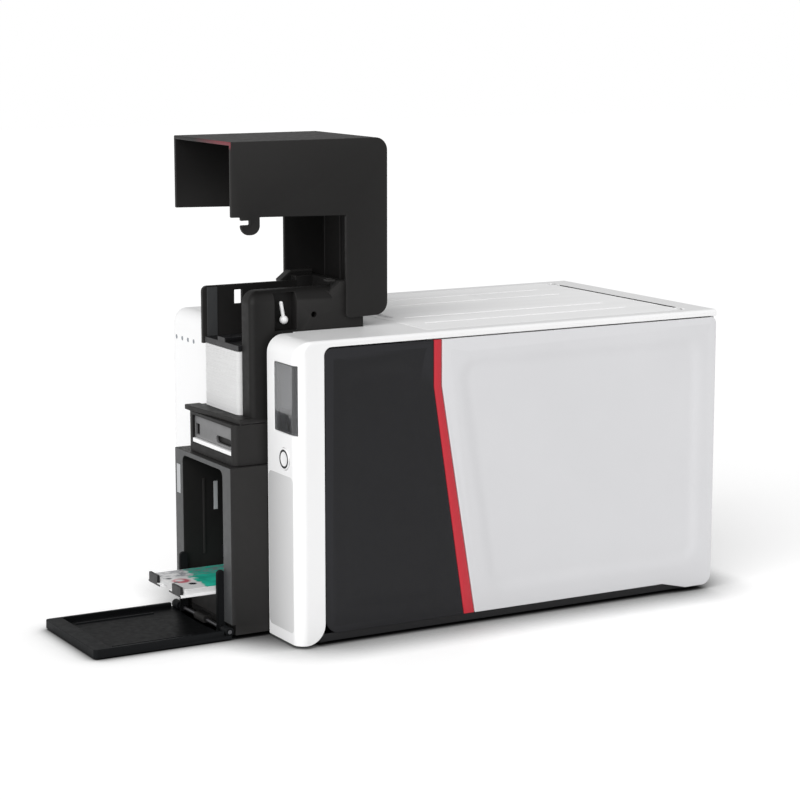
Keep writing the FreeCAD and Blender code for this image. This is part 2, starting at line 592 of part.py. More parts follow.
def make_hopper():
    outer = block("hopper_outer", ("tower_left", "tower_right"), ("hopper_front", "hopper_rear"),
                  ("hopper_lift", "hopper_top"))
    cavity = block("hopper_cavity", ("cavity_left", "cavity_right"),
                   ("hopper_front - overrun", "hopper_rear - hopper_skin"),
                   ("hopper_lift - overrun", "cavity_top"))
    cavity = rounded("hopper_cavity_round", cavity, ("cavity_round",
                     lambda e: runs_along(e, "y") and at(e, z="cavity_top")))
    flanks = [block("flank_left", ("tower_left + hopper_skin", "cavity_left - hopper_skin"),
                    ("hopper_front + 2 * hopper_skin", "hopper_rear + overrun"),
                    ("hopper_lift + knuckle_radius * 3", "hopper_top - hopper_skin")),
              block("flank_right", ("cavity_right + hopper_skin", "tower_right - hopper_skin"),
                    ("hopper_front + 2 * hopper_skin", "hopper_rear + overrun"),
                    ("hopper_lift + knuckle_radius * 3", "hopper_top - hopper_skin"))]
    toe = block("hopper_toe", ("tower_left - overrun", "tower_right + overrun"),
                ("hopper_front - overrun", "door_pivot_y + knuckle_radius + door_swing_gap"),
                ("hopper_lift - overrun", "door_hinge_z + knuckle_radius + door_swing_gap"))
    outlet = block("outlet", ("channel_left", "channel_right"),
                   ("hopper_rear - hopper_skin - overrun", "hopper_rear + overrun"),
                   ("cavity_top - outlet_drop - outlet_height", "cavity_top - outlet_drop"))
    slot = block("side_slot", ("tower_left - overrun", "cavity_left + overrun"),
                 ("hopper_front + slot_back", "hopper_front + slot_back + slot_width"),
                 ("cavity_top - slot_drop - slot_height", "cavity_top - slot_drop"))
    shell = cut("hopper_shell", outer, cavity, *flanks, toe, outlet, slot)
    deck = block("hopper_deck_block", ("card_left", "card_right"),
                 ("hopper_front + deck_setback", "hopper_rear - hopper_skin / 2"),
                 ("hopper_lift", "deck_top"))
    deck_room = block("deck_room", ("card_left + hopper_skin", "card_right - hopper_skin"),
                      ("hopper_front + deck_setback + 3 * hopper_skin",
                       "hopper_rear - 2 * hopper_skin"),
                      ("hopper_lift - overrun", "deck_top - hopper_skin"))
    lug = fuse("door_lug", rod("lug_round", "x", ("door_pivot_y", "door_hinge_z"),
                               ("tower_mid - lug_width / 2", "tower_mid + lug_width / 2"),
                               "knuckle_radius"),
               block("lug_web", ("tower_mid - lug_width / 2", "tower_mid + lug_width / 2"),
                     ("door_pivot_y", "door_pivot_y + 3 * knuckle_radius"),
                     ("hopper_lift", "door_hinge_z + knuckle_radius")))
    bore = rod("lug_bore", "x", ("door_pivot_y", "door_hinge_z"), ("tower_left", "tower_right"),
               "door_pin_radius")
    whole = cut("hopper_housing",
                fuse("hopper_whole", shell, cut("deck", deck, toe, deck_room), lug), bore)
    node(whole, "hopper_housing")
    node(rod("door_hinge_pin", "x", ("door_pivot_y", "door_hinge_z"),
             ("tower_left + slip", "tower_right - slip"), "door_pin_radius"), "door_hinge_pin")


def make_door():
    plate = block("door_sheet", ("tower_left", "tower_right"),
                  ("door_end", "door_pivot_y + door_hinge_out"),
                  ("door_lift", "door_top"))
    rim_back = "door_pivot_y - knuckle_radius - door_swing_gap"
    rim = block("door_rim_block", ("tower_left", "tower_right"), ("door_end", rim_back),
                ("door_lift", "door_top + door_rim"))
    dish = block("door_dish", ("tower_left + rim_wall", "tower_right - rim_wall"),
                 ("door_end + door_lip", "door_pivot_y + overrun"),
                 ("door_top", "door_top + door_rim + overrun"))
    tray = cut("door_tray", rim, dish)
    tray = rounded("door_tray_round", tray, ("door_corner",
                   lambda e: runs_along(e, "z") and at(e, y="door_end")))
    parts = [tray]
    slim = cut("door_sheet_cut", plate,
               block("door_sheet_keep", ("tower_left - overrun", "tower_right + overrun"),
                     ("door_end - overrun", rim_back), ("door_lift - overrun", "door_top + overrun")),
               block("lug_notch", ("tower_mid - lug_width / 2 - door_swing_gap",
                                   "tower_mid + lug_width / 2 + door_swing_gap"),
                     ("door_end - overrun", "door_pivot_y + overrun"),
                     ("door_lift - overrun", "door_top + overrun")))
    parts.append(slim)
    for side, low, high in (("left", "tower_left + slip", "tower_left + slip + knuckle_length"),
                            ("right", "tower_right - slip - knuckle_length", "tower_right - slip")):
        parts.append(rod("door_knuckle_" + side, "x", ("door_pivot_y", "door_hinge_z"), (low, high),
                         "knuckle_radius"))
    for side, low in (("left", "cavity_left + arm_gap"),
                      ("right", "cavity_right - arm_gap - arm_thick")):
        span = (low, low + " + arm_thick")
        parts.append(block("arm_" + side, span,
                           ("door_pivot_y - arm_width / 2", "door_pivot_y + arm_width / 2"),
                           ("door_lift + door_plate / 2", "door_hinge_z + arm_height - arm_width / 2")))
        parts.append(rod("arm_head_" + side, "x",
                         ("door_pivot_y", "door_hinge_z + arm_height - arm_width / 2"),
                         span, "arm_width / 2"))
    bore = rod("door_bore", "x", ("door_pivot_y", "door_hinge_z"),
               ("tower_left - overrun", "tower_right + overrun"),
               "door_pin_radius + running_gap")
    node(cut("output_door", fuse("door_whole", *parts), bore), "output_door")


def make_tray():
    back = "tray_front + card_length + slip"
    sheet_part = block("tray_sheet", ("tray_left", "tray_right"), ("tray_front - stop_thick", back),
                       ("tray_low", "tray_top"))
    stops = [block("stop_left", ("card_left", "card_left + stop_width"),
                   ("tray_front - stop_thick", "tray_front"), ("tray_top", "tray_top + stop_height")),
             block("stop_right", ("card_right - stop_width", "card_right"),
                   ("tray_front - stop_thick", "tray_front"), ("tray_top", "tray_top + stop_height"))]
    thumb = rod("tray_thumb", "z", ("tower_mid", "tray_front - stop_thick"),
                ("tray_low - overrun", "tray_top + overrun"), "stop_width / 2")
    node(cut("output_tray", fuse("tray_whole", sheet_part, *stops), thumb), "output_tray")
    node(card_stack("printed_cards", "tray_front + slip", "tray_top", "printed_count"), "printed_cards")


def card_stack(name, front, low, count):
    """A stack of cards with the rounded corners of the card format."""
    body = block(name + "_block", ("card_left", "card_right"), (front, f"{front} + card_length"),
                 (low, f"{low} + {count} * card_thick"))
    return rounded(name, body, ("card_corner", lambda e: runs_along(e, "z")))


# Feeder

def make_feeder():
    floor = prism("feeder_flange", "XY",
                  [("feeder_left - flange_corner", "front_y - flange_out"),
                   ("feeder_left + flange_corner", "front_y - flange_out"),
                   ("tower_mid", "front_y - (flange_out + flange_right_out) / 2 + slip"),
                   ("feeder_right", "front_y - flange_right_out"), ("feeder_right", "feeder_rear"),
                   ("feeder_left", "feeder_rear"), ("feeder_left", "feeder_front"),
                   ("feeder_left - flange_corner", "feeder_front")],
                  ("floor_under", "feeder_floor"))
    column = block("feeder_column", ("channel_right", "feeder_right"), ("column_front", "feeder_rear"),
                   ("floor_under", "feeder_top"))
    column = rounded("column_edge", column, ("feeder_round",
                     lambda e: runs_along(e, "z") and at(e, x="feeder_right", y="column_front")))
    column = rounded("column_head", column, ("feeder_head_round",
                     lambda e: runs_along(e, "x") and at(e, y="column_front", z="feeder_top")))
    wall = block("feeder_left_wall", ("feeder_left", "channel_left"), ("feeder_front", "feeder_rear"),
                 ("floor_under", "feeder_top - feeder_wall"))
    wall = rounded("wall_head", wall, ("feeder_round",
                   lambda e: runs_along(e, "x") and e.CenterOfMass.z > read("feeder_floor")
                   and at(e, y="feeder_front")))
    finger = block("finger_cut", ("feeder_left - overrun", "channel_left + slip"),
                   ("feeder_front - overrun", "feeder_front + finger_cut_back"),
                   ("feeder_floor", "finger_cut_top"))
    spy = block("spy_slot", ("feeder_left - overrun", "channel_left + slip"),
                ("feeder_front + spy_slot_back", "feeder_front + spy_slot_back + spy_slot_width"),
                ("feeder_top - feeder_wall - spy_slot_drop - spy_slot_height",
                 "feeder_top - feeder_wall - spy_slot_drop"))
    back = block("feeder_back", ("feeder_left", "feeder_right"), ("channel_rear", "feeder_rear"),
                 ("floor_under", "feeder_top - feeder_wall"))
    carrier = block("hinge_carrier", ("carrier_left", "feeder_right"),
                    ("pivot_y - carrier_front", "feeder_rear"), ("carrier_bottom", "feeder_top"))
    boss = rod("hinge_boss", "x", ("pivot_y", "cover_pivot_z"), ("carrier_left", "feeder_right"),
               "carrier_boss")
    ramp = [("pivot_y - gusset_foot", "feeder_top - feeder_wall"),
            ("pivot_y - gusset_head", "feeder_top + gusset_rise"),
            ("pivot_y", "feeder_top + gusset_rise"), ("pivot_y", "carrier_bottom"),
            ("pivot_y - carrier_front", "carrier_bottom")]
    gussets = [prism("gusset_far", "YZ", ramp, ("carrier_left", "carrier_left + gusset_wide")),
               prism("gusset_near", "YZ", ramp, ("feeder_right - gusset_wide", "feeder_right"))]
    gate = block("card_gate", ("channel_left", "channel_right"),
                 ("channel_rear - overrun", "feeder_rear + overrun"),
                 ("feeder_floor", "feeder_floor + gate_height"))
    channel = block("card_channel", ("channel_left", "channel_right"),
                    ("feeder_front - 2 * overrun", "channel_rear"),
                    ("feeder_floor", "feeder_top + overrun"))
    window = block("pickup_window", ("tower_mid - pickup_width / 2 - card_slack",
                                     "tower_mid + pickup_width / 2 + card_slack"),
                   ("pickup_y - roller_radius - card_slack", "pickup_y + roller_radius + card_slack"),
                   ("floor_under - overrun", "feeder_floor + overrun"))
    pocket = block("lever_pocket", ("feeder_right - pocket_depth", "feeder_right + overrun"),
                   ("lever_y - pocket_front", "lever_y + pocket_rear"),
                   ("lever_z - pocket_low", "lever_z + pocket_high"))
    hole = rod("side_hole", "x", ("feeder_front + side_hole_back", "feeder_top - side_hole_drop"),
               ("feeder_right - pocket_depth", "feeder_right + overrun"), "side_hole_radius")
    pins = [rod("cover_pin_far", "x", ("pivot_y", "cover_pivot_z"),
                ("tower_left + cover_pin_skin + slip", "carrier_left + cover_pin_grip"),
                "cover_pin_radius"),
            rod("cover_pin_near", "x", ("pivot_y", "cover_pivot_z"),
                ("feeder_right - cover_pin_grip", "tower_right - cover_pin_skin - slip"),
                "cover_pin_radius")]
    bores = [rod("carrier_bore_far", "x", ("pivot_y", "cover_pivot_z"),
                 ("carrier_left - overrun", "carrier_left + cover_pin_grip"), "cover_pin_radius"),
             rod("carrier_bore_near", "x", ("pivot_y", "cover_pivot_z"),
                 ("feeder_right - cover_pin_grip", "feeder_right + overrun"), "cover_pin_radius")]
    peg = rod("lever_peg", "x", ("lever_y", "lever_z"),
              ("feeder_right - pocket_depth - slip", "lever_x"), "lever_pin")
    solid = fuse("feeder_solid", floor, column, cut("open_wall", wall, finger, spy), back, carrier,
                 boss, *gussets)
    frame = cut("feeder_cut", solid, gate, channel, window, pocket, hole, *bores)
    node(fuse("feeder_frame", frame, peg), "feeder_frame")
    node(group("cover_hinge_pins", *pins), "cover_hinge_pins")
    node(card_stack("blank_cards", "feeder_front + card_slack / 2", "stack_low", "blank_count"),
         "blank_cards")
    make_lever()
    make_weight()


def make_lever():
    knob = ball("lever_knob", ("lever_x", "lever_y", "lever_z"), "lever_ball")
    stem = rod("lever_rod", "z", ("lever_x", "lever_y"), ("lever_z", "lever_z + lever_length"),
               "lever_stem")
    stem.Placement.Rotation = FreeCAD.Rotation(V(1, 0, 0), SIZES["lever_tilt"])
    tip = ball("lever_tip", ("lever_x", "lever_y - lever_length * sin(lever_tilt)",
                             "lever_z + lever_length * cos(lever_tilt)"), "lever_stem")
    bore = rod("lever_bore", "x", ("lever_y", "lever_z"),
               ("lever_x - lever_ball - overrun", "lever_x + slip"),
               "lever_pin + running_gap")
    node(cut("gauge_lever", fuse("lever_solid", knob, stem, tip), bore), "gauge_lever")


def make_weight():
    low = "stack_high + slip"
    slab = block("weight_slab", ("card_left - card_slack / 2", "card_right + card_slack / 2"),
                 ("feeder_front + card_slack", "channel_rear - card_slack"),
                 (low, low + " + weight_thick"))
    rib = block("weight_ridge", ("tower_mid - weight_rib_width / 2",
                                 "tower_mid + weight_rib_width / 2"),
                ("feeder_front + card_slack", "channel_rear - card_slack"),
                (low, low + " + weight_thick + weight_rib"))
    node(fuse("card_weight", slab, rib), "card_weight")


def make_feeder_base():
    body = block("feeder_base_block", ("feeder_left + 2 * card_slack", "feeder_right"),
                 ("feeder_base_front", "feeder_base_front + base_depth"),
                 ("feeder_base_low", "floor_under - slip"))
    body = rounded("feeder_base_edge", body, ("feeder_round",
                   lambda e: runs_along(e, "z") and at(e, x="feeder_right", y="feeder_base_front")))
    hollow = block("feeder_base_hollow", ("feeder_left + 2 * card_slack + feeder_base_wall",
                                          "feeder_right - feeder_base_wall"),
                   ("feeder_base_front + recess_depth + feeder_base_wall",
                    "feeder_base_front + base_depth - feeder_base_wall"),
                   ("feeder_base_low - overrun", "floor_under - slip - feeder_base_wall"))
    left = "feeder_left + 2 * card_slack + recess_side"
    right = "feeder_right - recess_side"
    recess = block("front_recess", (left, right),
                   ("feeder_base_front - overrun", "feeder_base_front + recess_depth"),
                   ("bar_low - slip", "floor_under - slip - recess_head"))
    node(cut("feeder_base", body, hollow, recess), "feeder_base")
    bar_top = "bar_low + bar_height"
    plate_y = ("feeder_base_front + recess_depth - slip - plate_thick",
               "feeder_base_front + recess_depth - slip")
    plate = block("front_plate", (left + " + slip", right + " - slip"), plate_y,
                  (bar_top + " + slip", "floor_under - 2 * slip - recess_head"))
    eye = block("plate_eye", (left + " + eye_side", left + " + eye_side + eye_width"),
                ("feeder_base_front", "feeder_base_front + recess_depth"),
                (bar_top + " + eye_foot", bar_top + " + eye_foot + eye_height"))
    oval_z = bar_top + " + oval_foot + oval_height / 2"
    oval_low = right + " - oval_side - oval_length + oval_height / 2"
    oval_high = right + " - oval_side - oval_height / 2"
    oval = fuse("plate_oval", block("oval_middle", (oval_low, oval_high),
                                    ("feeder_base_front", "feeder_base_front + recess_depth"),
                                    (bar_top + " + oval_foot", bar_top + " + oval_foot + oval_height")),
                *[rod("oval_end", "y", (x, oval_z),
                      ("feeder_base_front", "feeder_base_front + recess_depth"),
                      "oval_height / 2") for x in (oval_low, oval_high)])
    node(cut("exit_plate", plate, eye, oval), "exit_plate")
    node(block("exit_bar", (left + " + slip", right + " - slip"),
               ("feeder_base_front", "feeder_base_front + recess_depth - slip"),
               ("bar_low", bar_top)),
         "exit_bar")


def make_feeder_cover():
    outline = [("open_front", "open_top"), ("open_front", "open_under"),
               ("open_inner", "open_under - cover_arm_slant"), ("open_inner", "open_low"),
               ("open_rear", "open_low + cover_heel_slant"), ("open_rear", "open_top")]
    shell = prism("cover_outer", "YZ", outline, ("tower_left", "tower_right"))
    shell = rounded("cover_outer_round", shell, ("cover_round",
                    lambda e: runs_along(e, "x") and at(e, y="open_rear", z="open_top")))
    shell = rounded("cover_outer_heel", shell,
                    ("cover_heel_round",
                     lambda e: runs_along(e, "x") and at(e, y="open_rear") and is_low(e)),
                    ("cover_heel_corner",
                     lambda e: runs_along(e, "x") and at(e, y="open_inner", z="open_low")))
    rim = block("cover_far_rim", ("tower_left", "tower_left + cover_wall"),
                ("far_inner", "open_inner + cover_wall"),
                ("open_low + cover_far_foot", "open_under - cover_arm_slant + cover_wall"))
    hollow = prism("cover_inner", "YZ",
                   [("open_front - overrun", "open_top - cover_wall"),
                    ("open_front - overrun", "open_under - overrun"),
                    ("open_inner - overrun", "open_under - overrun"),
                    ("open_inner - overrun", "open_low - overrun"),
                    ("open_rear - cover_wall", "open_low - overrun"),
                    ("open_rear - cover_wall", "open_top - cover_wall")],
                   ("tower_left + cover_wall", "tower_right - cover_wall"))
    hollow = rounded("cover_inner_round", hollow, ("cover_heel_round",
                     lambda e: runs_along(e, "x") and near(e.CenterOfMass.y + read("cover_wall"),
                                                           "open_rear")
                     and near(e.CenterOfMass.z + read("cover_wall"), "open_top")))
    near_wall = ("tower_right - cover_wall", "tower_right")
    hook_low = "open_under - hook_drop"
    stem = block("hook_body", near_wall,
                 ("open_front + hook_back", "open_front + hook_back + hook_width"),
                 (hook_low, "open_under + overrun"))
    stem = rounded("hook_bend", stem,
                   ("hook_round",
                    lambda e: runs_along(e, "x") and at_low(e, "open_under", "hook_drop")))
    gap = block("hook_gap", near_wall, ("open_front + hook_back - overrun",
                                        "open_front + hook_back + hook_width - hook_stem"),
                ("open_under - hook_slot_drop - hook_slot", "open_under - hook_slot_drop"))
    bores = rod("cover_bore", "x", ("pivot_y", "cover_pivot_z"),
                ("tower_left + cover_pin_skin", "tower_right - cover_pin_skin"),
                "cover_pin_radius + running_gap")
    hook = cut("cover_hook", stem, gap)
    shaped = fuse("cover_shaped", cut("cover_channel", shell, hollow), hook, rim)
    node(cut("feeder_cover", shaped, bores), "feeder_cover")


def is_low(edge):
    """True for an edge below the hinge of the feeder cover."""
    return edge.CenterOfMass.z < read("cover_pivot_z")


def at_low(edge, name, drop):
    return abs(edge.CenterOfMass.z - read(name) + read(drop)) < read("running_gap")


# Lid, window, button and lamps

def make_lid():
    half = "lid_x"
    plate = block("lid_plate", (f"-{half}", half), ("lid_front", "lid_hinge_y - running_gap"),
                  ("box_top - lid_thick", "box_top"))
    rim = block("lid_rim_block", (f"-{half}", half),
                ("lid_front", "lid_hinge_y - lid_relief - lid_rim"),
                ("box_top - lid_thick - lid_rim", "box_top - lid_thick"))
    core = block("lid_core", (f"-{half} + lid_rim_wall", f"{half} - lid_rim_wall"),
                 ("lid_front + lid_rim_wall", "lid_hinge_y + overrun"),
                 ("box_top - lid_thick - lid_rim - overrun", "box_top - lid_thick"))
    grip = block("lid_grip", ("-lid_grip_width / 2 + tower_mid", "lid_grip_width / 2 + tower_mid"),
                 ("lid_front + lid_rim_wall", "lid_front + lid_rim_wall + lid_grip_depth"),
                 ("box_top - lid_grip_drop", "box_top + overrun"))
    knuckles, notches = [], []
    for side, span in both_sides(("lid_knuckle_mid - lid_knuckle_length / 2",
                                  "lid_knuckle_mid + lid_knuckle_length / 2")):
        knuckles.append(rod("lid_knuckle_" + side, "x", ("lid_hinge_y", "lid_hinge_z"), span,
                            "lid_knuckle"))
    for side, span in both_sides(("lid_knuckle_mid + lid_knuckle_length / 2", "lid_x + overrun")):
        notches.append(block("lid_notch_" + side, span,
                             ("lid_hinge_y - lid_relief", "lid_hinge_y + overrun"),
                             ("box_top - lid_thick - overrun", "box_top + overrun")))
    bore = rod("lid_bore", "x", ("lid_hinge_y", "lid_hinge_z"), ("-lid_x", "lid_x"),
               "lid_pin + running_gap")
    solid = fuse("lid_solid", cut("lid_pan", fuse("lid_blank", plate, rim), core, grip, *notches),
                 *knuckles)
    node(cut("top_lid", solid, bore), "top_lid")
    end = "lid_knuckle_mid + lid_knuckle_length / 2 + slip + lid_lug_length"
    node(rod("lid_hinge_pin", "x", ("lid_hinge_y", "lid_hinge_z"), (f"-({end})", end), "lid_pin"),
         "lid_hinge_pin")
    strap_y = ("platen_y - head_depth / 2", "platen_y - head_depth / 2 + bracket_thick")
    arm = block("bracket_strap", ("tower_mid - bracket_width / 2", "tower_mid + bracket_width / 2"),
                strap_y,
                ("head_high", "box_top - lid_thick - slip"))
    foot = block("bracket_foot", ("tower_mid - bracket_width / 2", "tower_mid + bracket_width / 2"),
                 ("platen_y - head_depth / 2", "platen_y + head_depth / 2"),
                 ("head_high", "head_high + bracket_thick"))
    cap = block("bracket_cap", ("tower_mid - bracket_width / 2", "tower_mid + bracket_width / 2"),
                ("platen_y - head_depth / 2", "platen_y + head_depth"),
                ("box_top - lid_thick - slip - bracket_thick", "box_top - lid_thick - slip"))
    node(fuse("head_bracket", arm, foot, cap), "head_bracket")
    make_print_head()


def make_print_head():
    """A ceramic edge on an aluminium sink; fins stand behind the bracket."""
    left, right = "tower_mid - head_width / 2", "tower_mid + head_width / 2"
    front, rear = "platen_y - head_depth / 2", "platen_y + head_depth / 2"
    body = prism("head_body", "YZ",
                 [(front, "head_low + nose_drop"), ("platen_y - nose_half", "head_low"),
                  ("platen_y + nose_half", "head_low"), (rear, "head_low + nose_drop"),
                  (rear, "head_high"),
                  (front, "head_high")], (left, right))
    pitch = "(head_depth - bracket_thick - 2 * fin_thick) / fin_count"
    fins = [block("head_fin", (left, "tower_mid - bracket_width / 2 - slip"),
                  (f"{front} + bracket_thick + {i} * {pitch}",
                   f"{front} + bracket_thick + {i} * {pitch} + fin_thick"),
                  ("head_high", "fin_high")) for i in range(1, SIZES["fin_count"] + 1)]
    fins += [block("head_fin", ("tower_mid + bracket_width / 2 + slip", right),
                   (f"{front} + bracket_thick + {i} * {pitch}",
                    f"{front} + bracket_thick + {i} * {pitch} + fin_thick"),
                   ("head_high", "fin_high")) for i in range(1, SIZES["fin_count"] + 1)]
    node(fuse("print_head", body, *fins), "print_head")


def make_front_strip():
    corner = block("lens_corner", ("window_inner", "side_x"), ("front_y", "rear_y"),
                   ("window_low", "window_high"))
    corner = rounded("lens_bend", corner, ("corner_round",
                     lambda e: runs_along(e, "z") and at(e, x="side_x", y="front_y")))
    behind = block("lens_behind", ("window_inner - overrun", "side_x + overrun"),
                   ("lens_back", "rear_y + overrun"), ("window_low - overrun", "window_high + overrun"))
    beyond = block("lens_beyond", ("window_outer", "side_x + overrun"),
                   ("front_y - overrun", "rear_y + overrun"),
                   ("window_low - overrun", "window_high + overrun"))
    node(cut("window_lens", corner, behind, beyond), "window_lens")
    back_low, back_high = "wall_in + slip", "wall_in + slip + backing_gap + backing_wall"
    box = block("backing_box", ("window_inner - slip - backing_wall", "wall_x - slip"),
                (back_low, back_high),
                ("window_low - slip - backing_wall", "window_high + slip + backing_wall"))
    box = rounded("backing_corner", box, ("corner_inside",
                  lambda e: runs_along(e, "z") and e.CenterOfMass.x > read("button_x")
                  and e.CenterOfMass.y < read("wall_in") + read("backing_wall")))
    room = block("backing_room", ("window_inner - slip", "wall_x - slip - backing_wall"),
                 (back_low + " - overrun", back_high + " - backing_wall"),
                 ("window_low - slip", "window_high + slip"))
    node(cut("window_backing", box, room), "window_backing")
    flag_left = "window_inner + flag_thick"
    flag = block("flag_block", (flag_left, flag_left + " + flag_width"),
                 (back_high + " - backing_wall - flag_thick", back_high + " - backing_wall"),
                 ("window_low", "window_low + flag_height"))
    nib = rod("flag_nib", "y", (flag_left + " + flag_width", "window_low + flag_height - flag_thick"),
              (back_high + " - backing_wall - flag_thick", back_high + " - backing_wall"), "flag_thick")
    node(fuse("level_flag", flag, nib), "level_flag")
    disc = rod("button_disc", "y", ("button_x", "button_z"), ("front_y - button_proud", "button_back"),
               "button_radius")
    collar = rod("button_collar", "y", ("button_x", "button_z"),
                 ("wall_in + slip", "wall_in + slip + flange_thick"),
                 "button_radius + button_flange")
    node(fuse("push_button", disc, collar), "push_button")
    board = block("panel_board_sheet",
                  ("button_x - panel_board_width / 2", "button_x + panel_board_width / 2"),
                  ("panel_board_y", "panel_board_y + board_thick"),
                  ("button_z - panel_board_height / 2", "button_z + panel_board_height / 2"))
    switch = block("tact_switch", ("button_x - switch_size / 2", "button_x + switch_size / 2"),
                   ("switch_face", "panel_board_y"),
                   ("button_z - switch_size / 2", "button_z + switch_size / 2"))
    node(fuse("panel_board", board, switch), "panel_board")
    lamps = [rod("lamp", "y", (f"lamp_first + {i} * lamp_pitch", "lamp_z"),
                 ("front_y", "wall_in + lamp_radius"),
                 "lamp_radius - running_gap") for i in range(SIZES["lamp_count"])]
    node(group("indicator_lamps", *lamps), "indicator_lamps")


# Mechanism

def make_frames():
    outline = [("frame_front", "feeder_base_low + slip"), ("frame_front", "floor_under - slip"),
               ("feeder_rear + slip", "floor_under - slip"), ("feeder_rear + slip", "frame_high"),
               ("frame_rear", "frame_high"), ("frame_rear", "base_floor + slip"),
               ("hopper_rear + slip", "base_floor + slip"),
               ("hopper_rear + slip", "feeder_base_low + slip")]
    axles = [(y, "axle_z", "shaft_radius") for y in ("pickup_y", "feed_y", "platen_y", "relay_y",
                                                     "exit_y")]
    axles.append(("feed_y", "axle_z + roller_radius + card_thick + slip + cleaner_radius",
                  "cleaner_shaft"))
    axles.append(("motor_y", "motor_z", "motor_shaft"))
    axles.append(("takeup_y", "spool_z", "spindle_radius"))
    axles.append(("supply_y", "spool_z", "spindle_radius"))
    ties = [("hopper_rear + 3 * tie_radius", "tie_low_z"), ("frame_rear - 3 * tie_radius", "tie_low_z"),
            ("frame_rear - 3 * tie_radius", "tie_mid_z"), ("hopper_rear + 3 * tie_radius", "tie_mid_z")]
    for side, low in (("left", "frame_left"), ("right", "frame_right")):
        span = (low, low + " + frame_plate")
        plate = prism(f"plate_{side}", "YZ", outline, span)
        holes = [rod("axle_hole", "x", (y, z), (low + " - overrun", low + " + frame_plate + overrun"),
                     radius + " + running_gap") for y, z, radius in axles]
        node(cut(f"frame_plate_{side}", plate, *holes), f"frame_plate_{side}")
    bars = [rod("tie_bar", "x", centre, ("frame_in_left", "frame_right"),
                "tie_radius") for centre in ties]
    node(group("tie_bars", *bars), "tie_bars")


def roller(name, y, width, pulleys):
    """A rubber sleeve on a steel shaft, with its belt pulleys outside the left plate."""
    centre = (y, "axle_z")
    end = pulleys[-1][0]
    parts = [rod(name + "_shaft", "x", centre, (end, "frame_right + frame_plate + slip"),
                 "shaft_radius"),
             rod(name + "_sleeve", "x", centre,
                 (f"tower_mid - {width} / 2", f"tower_mid + {width} / 2"),
                 "roller_radius")]
    parts += [rod(name + "_pulley", "x", centre, (low, low + " + pulley_width"), radius) for low,
              radius in pulleys]
    node(fuse(name, *parts), name)


def make_rollers():
    wide = "(card_width - 2 * roller_side)"
    belt_pulley = [("belt_x_low", "pulley_radius")]
    roller("pickup_roller", "pickup_y", "pickup_width", belt_pulley)
    roller("feed_roller", "feed_y", wide, belt_pulley)
    roller("platen_roller", "platen_y", wide, belt_pulley + [("motor_belt_low", "platen_pulley")])
    roller("relay_roller", "relay_y", wide, belt_pulley)
    roller("exit_roller", "exit_y", wide, belt_pulley)
    cleaner_z = "axle_z + roller_radius + card_thick + slip + cleaner_radius"
    sleeve = rod("cleaner_sleeve", "x", ("feed_y", cleaner_z),
                 (f"tower_mid - {wide} / 2", f"tower_mid + {wide} / 2"),
                 "cleaner_radius")
    shaft = rod("cleaner_rod", "x", ("feed_y", cleaner_z), ("frame_left", "frame_right + frame_plate"),
                "cleaner_shaft")
    node(fuse("cleaning_roller", sleeve, shaft), "cleaning_roller")


def loop_wire(x, first, second):
    """A closed belt line round two circles, each (y, z, radius), in the plane at x."""
    (y1, z1, r1), (y2, z2, r2) = first, second
    span = math.hypot(y2 - y1, z2 - z1)
    lean = math.atan2(z2 - z1, y2 - y1)
    spread = math.acos((r1 - r2) / span)
    def point(y, z, r, angle):
        return V(x, y + r * math.cos(angle), z + r * math.sin(angle))
    upper, lower = lean + spread, lean - spread
    a, b = point(y1, z1, r1, upper), point(y2, z2, r2, upper)
    c, d = point(y2, z2, r2, lower), point(y1, z1, r1, lower)
    far = Part.Arc(b, point(y2, z2, r2, lean), c).toShape()
    close = Part.Arc(d, point(y1, z1, r1, lean + math.pi), a).toShape()
    return Part.Wire([Part.LineSegment(a, b).toShape(), far, Part.LineSegment(c, d).toShape(), close])


def belt(name, low, first, second):
    """A flat belt as the band between two loops, a gap outside its pulleys."""
    gap, thick, width, x = read("belt_gap"), read("belt_thick"), read("pulley_width"), read(low)
    loops = []
    for grow in (gap + thick, gap):
        rings = [(y, z, r + grow) for y, z, r in (first, second)]
        loops.append(Part.Face(loop_wire(x, *rings)).extrude(V(width, 0, 0)))
    feature = doc.addObject("Part::Feature", name)
    feature.Shape = loops[0].cut(loops[1])
    node(feature, name)


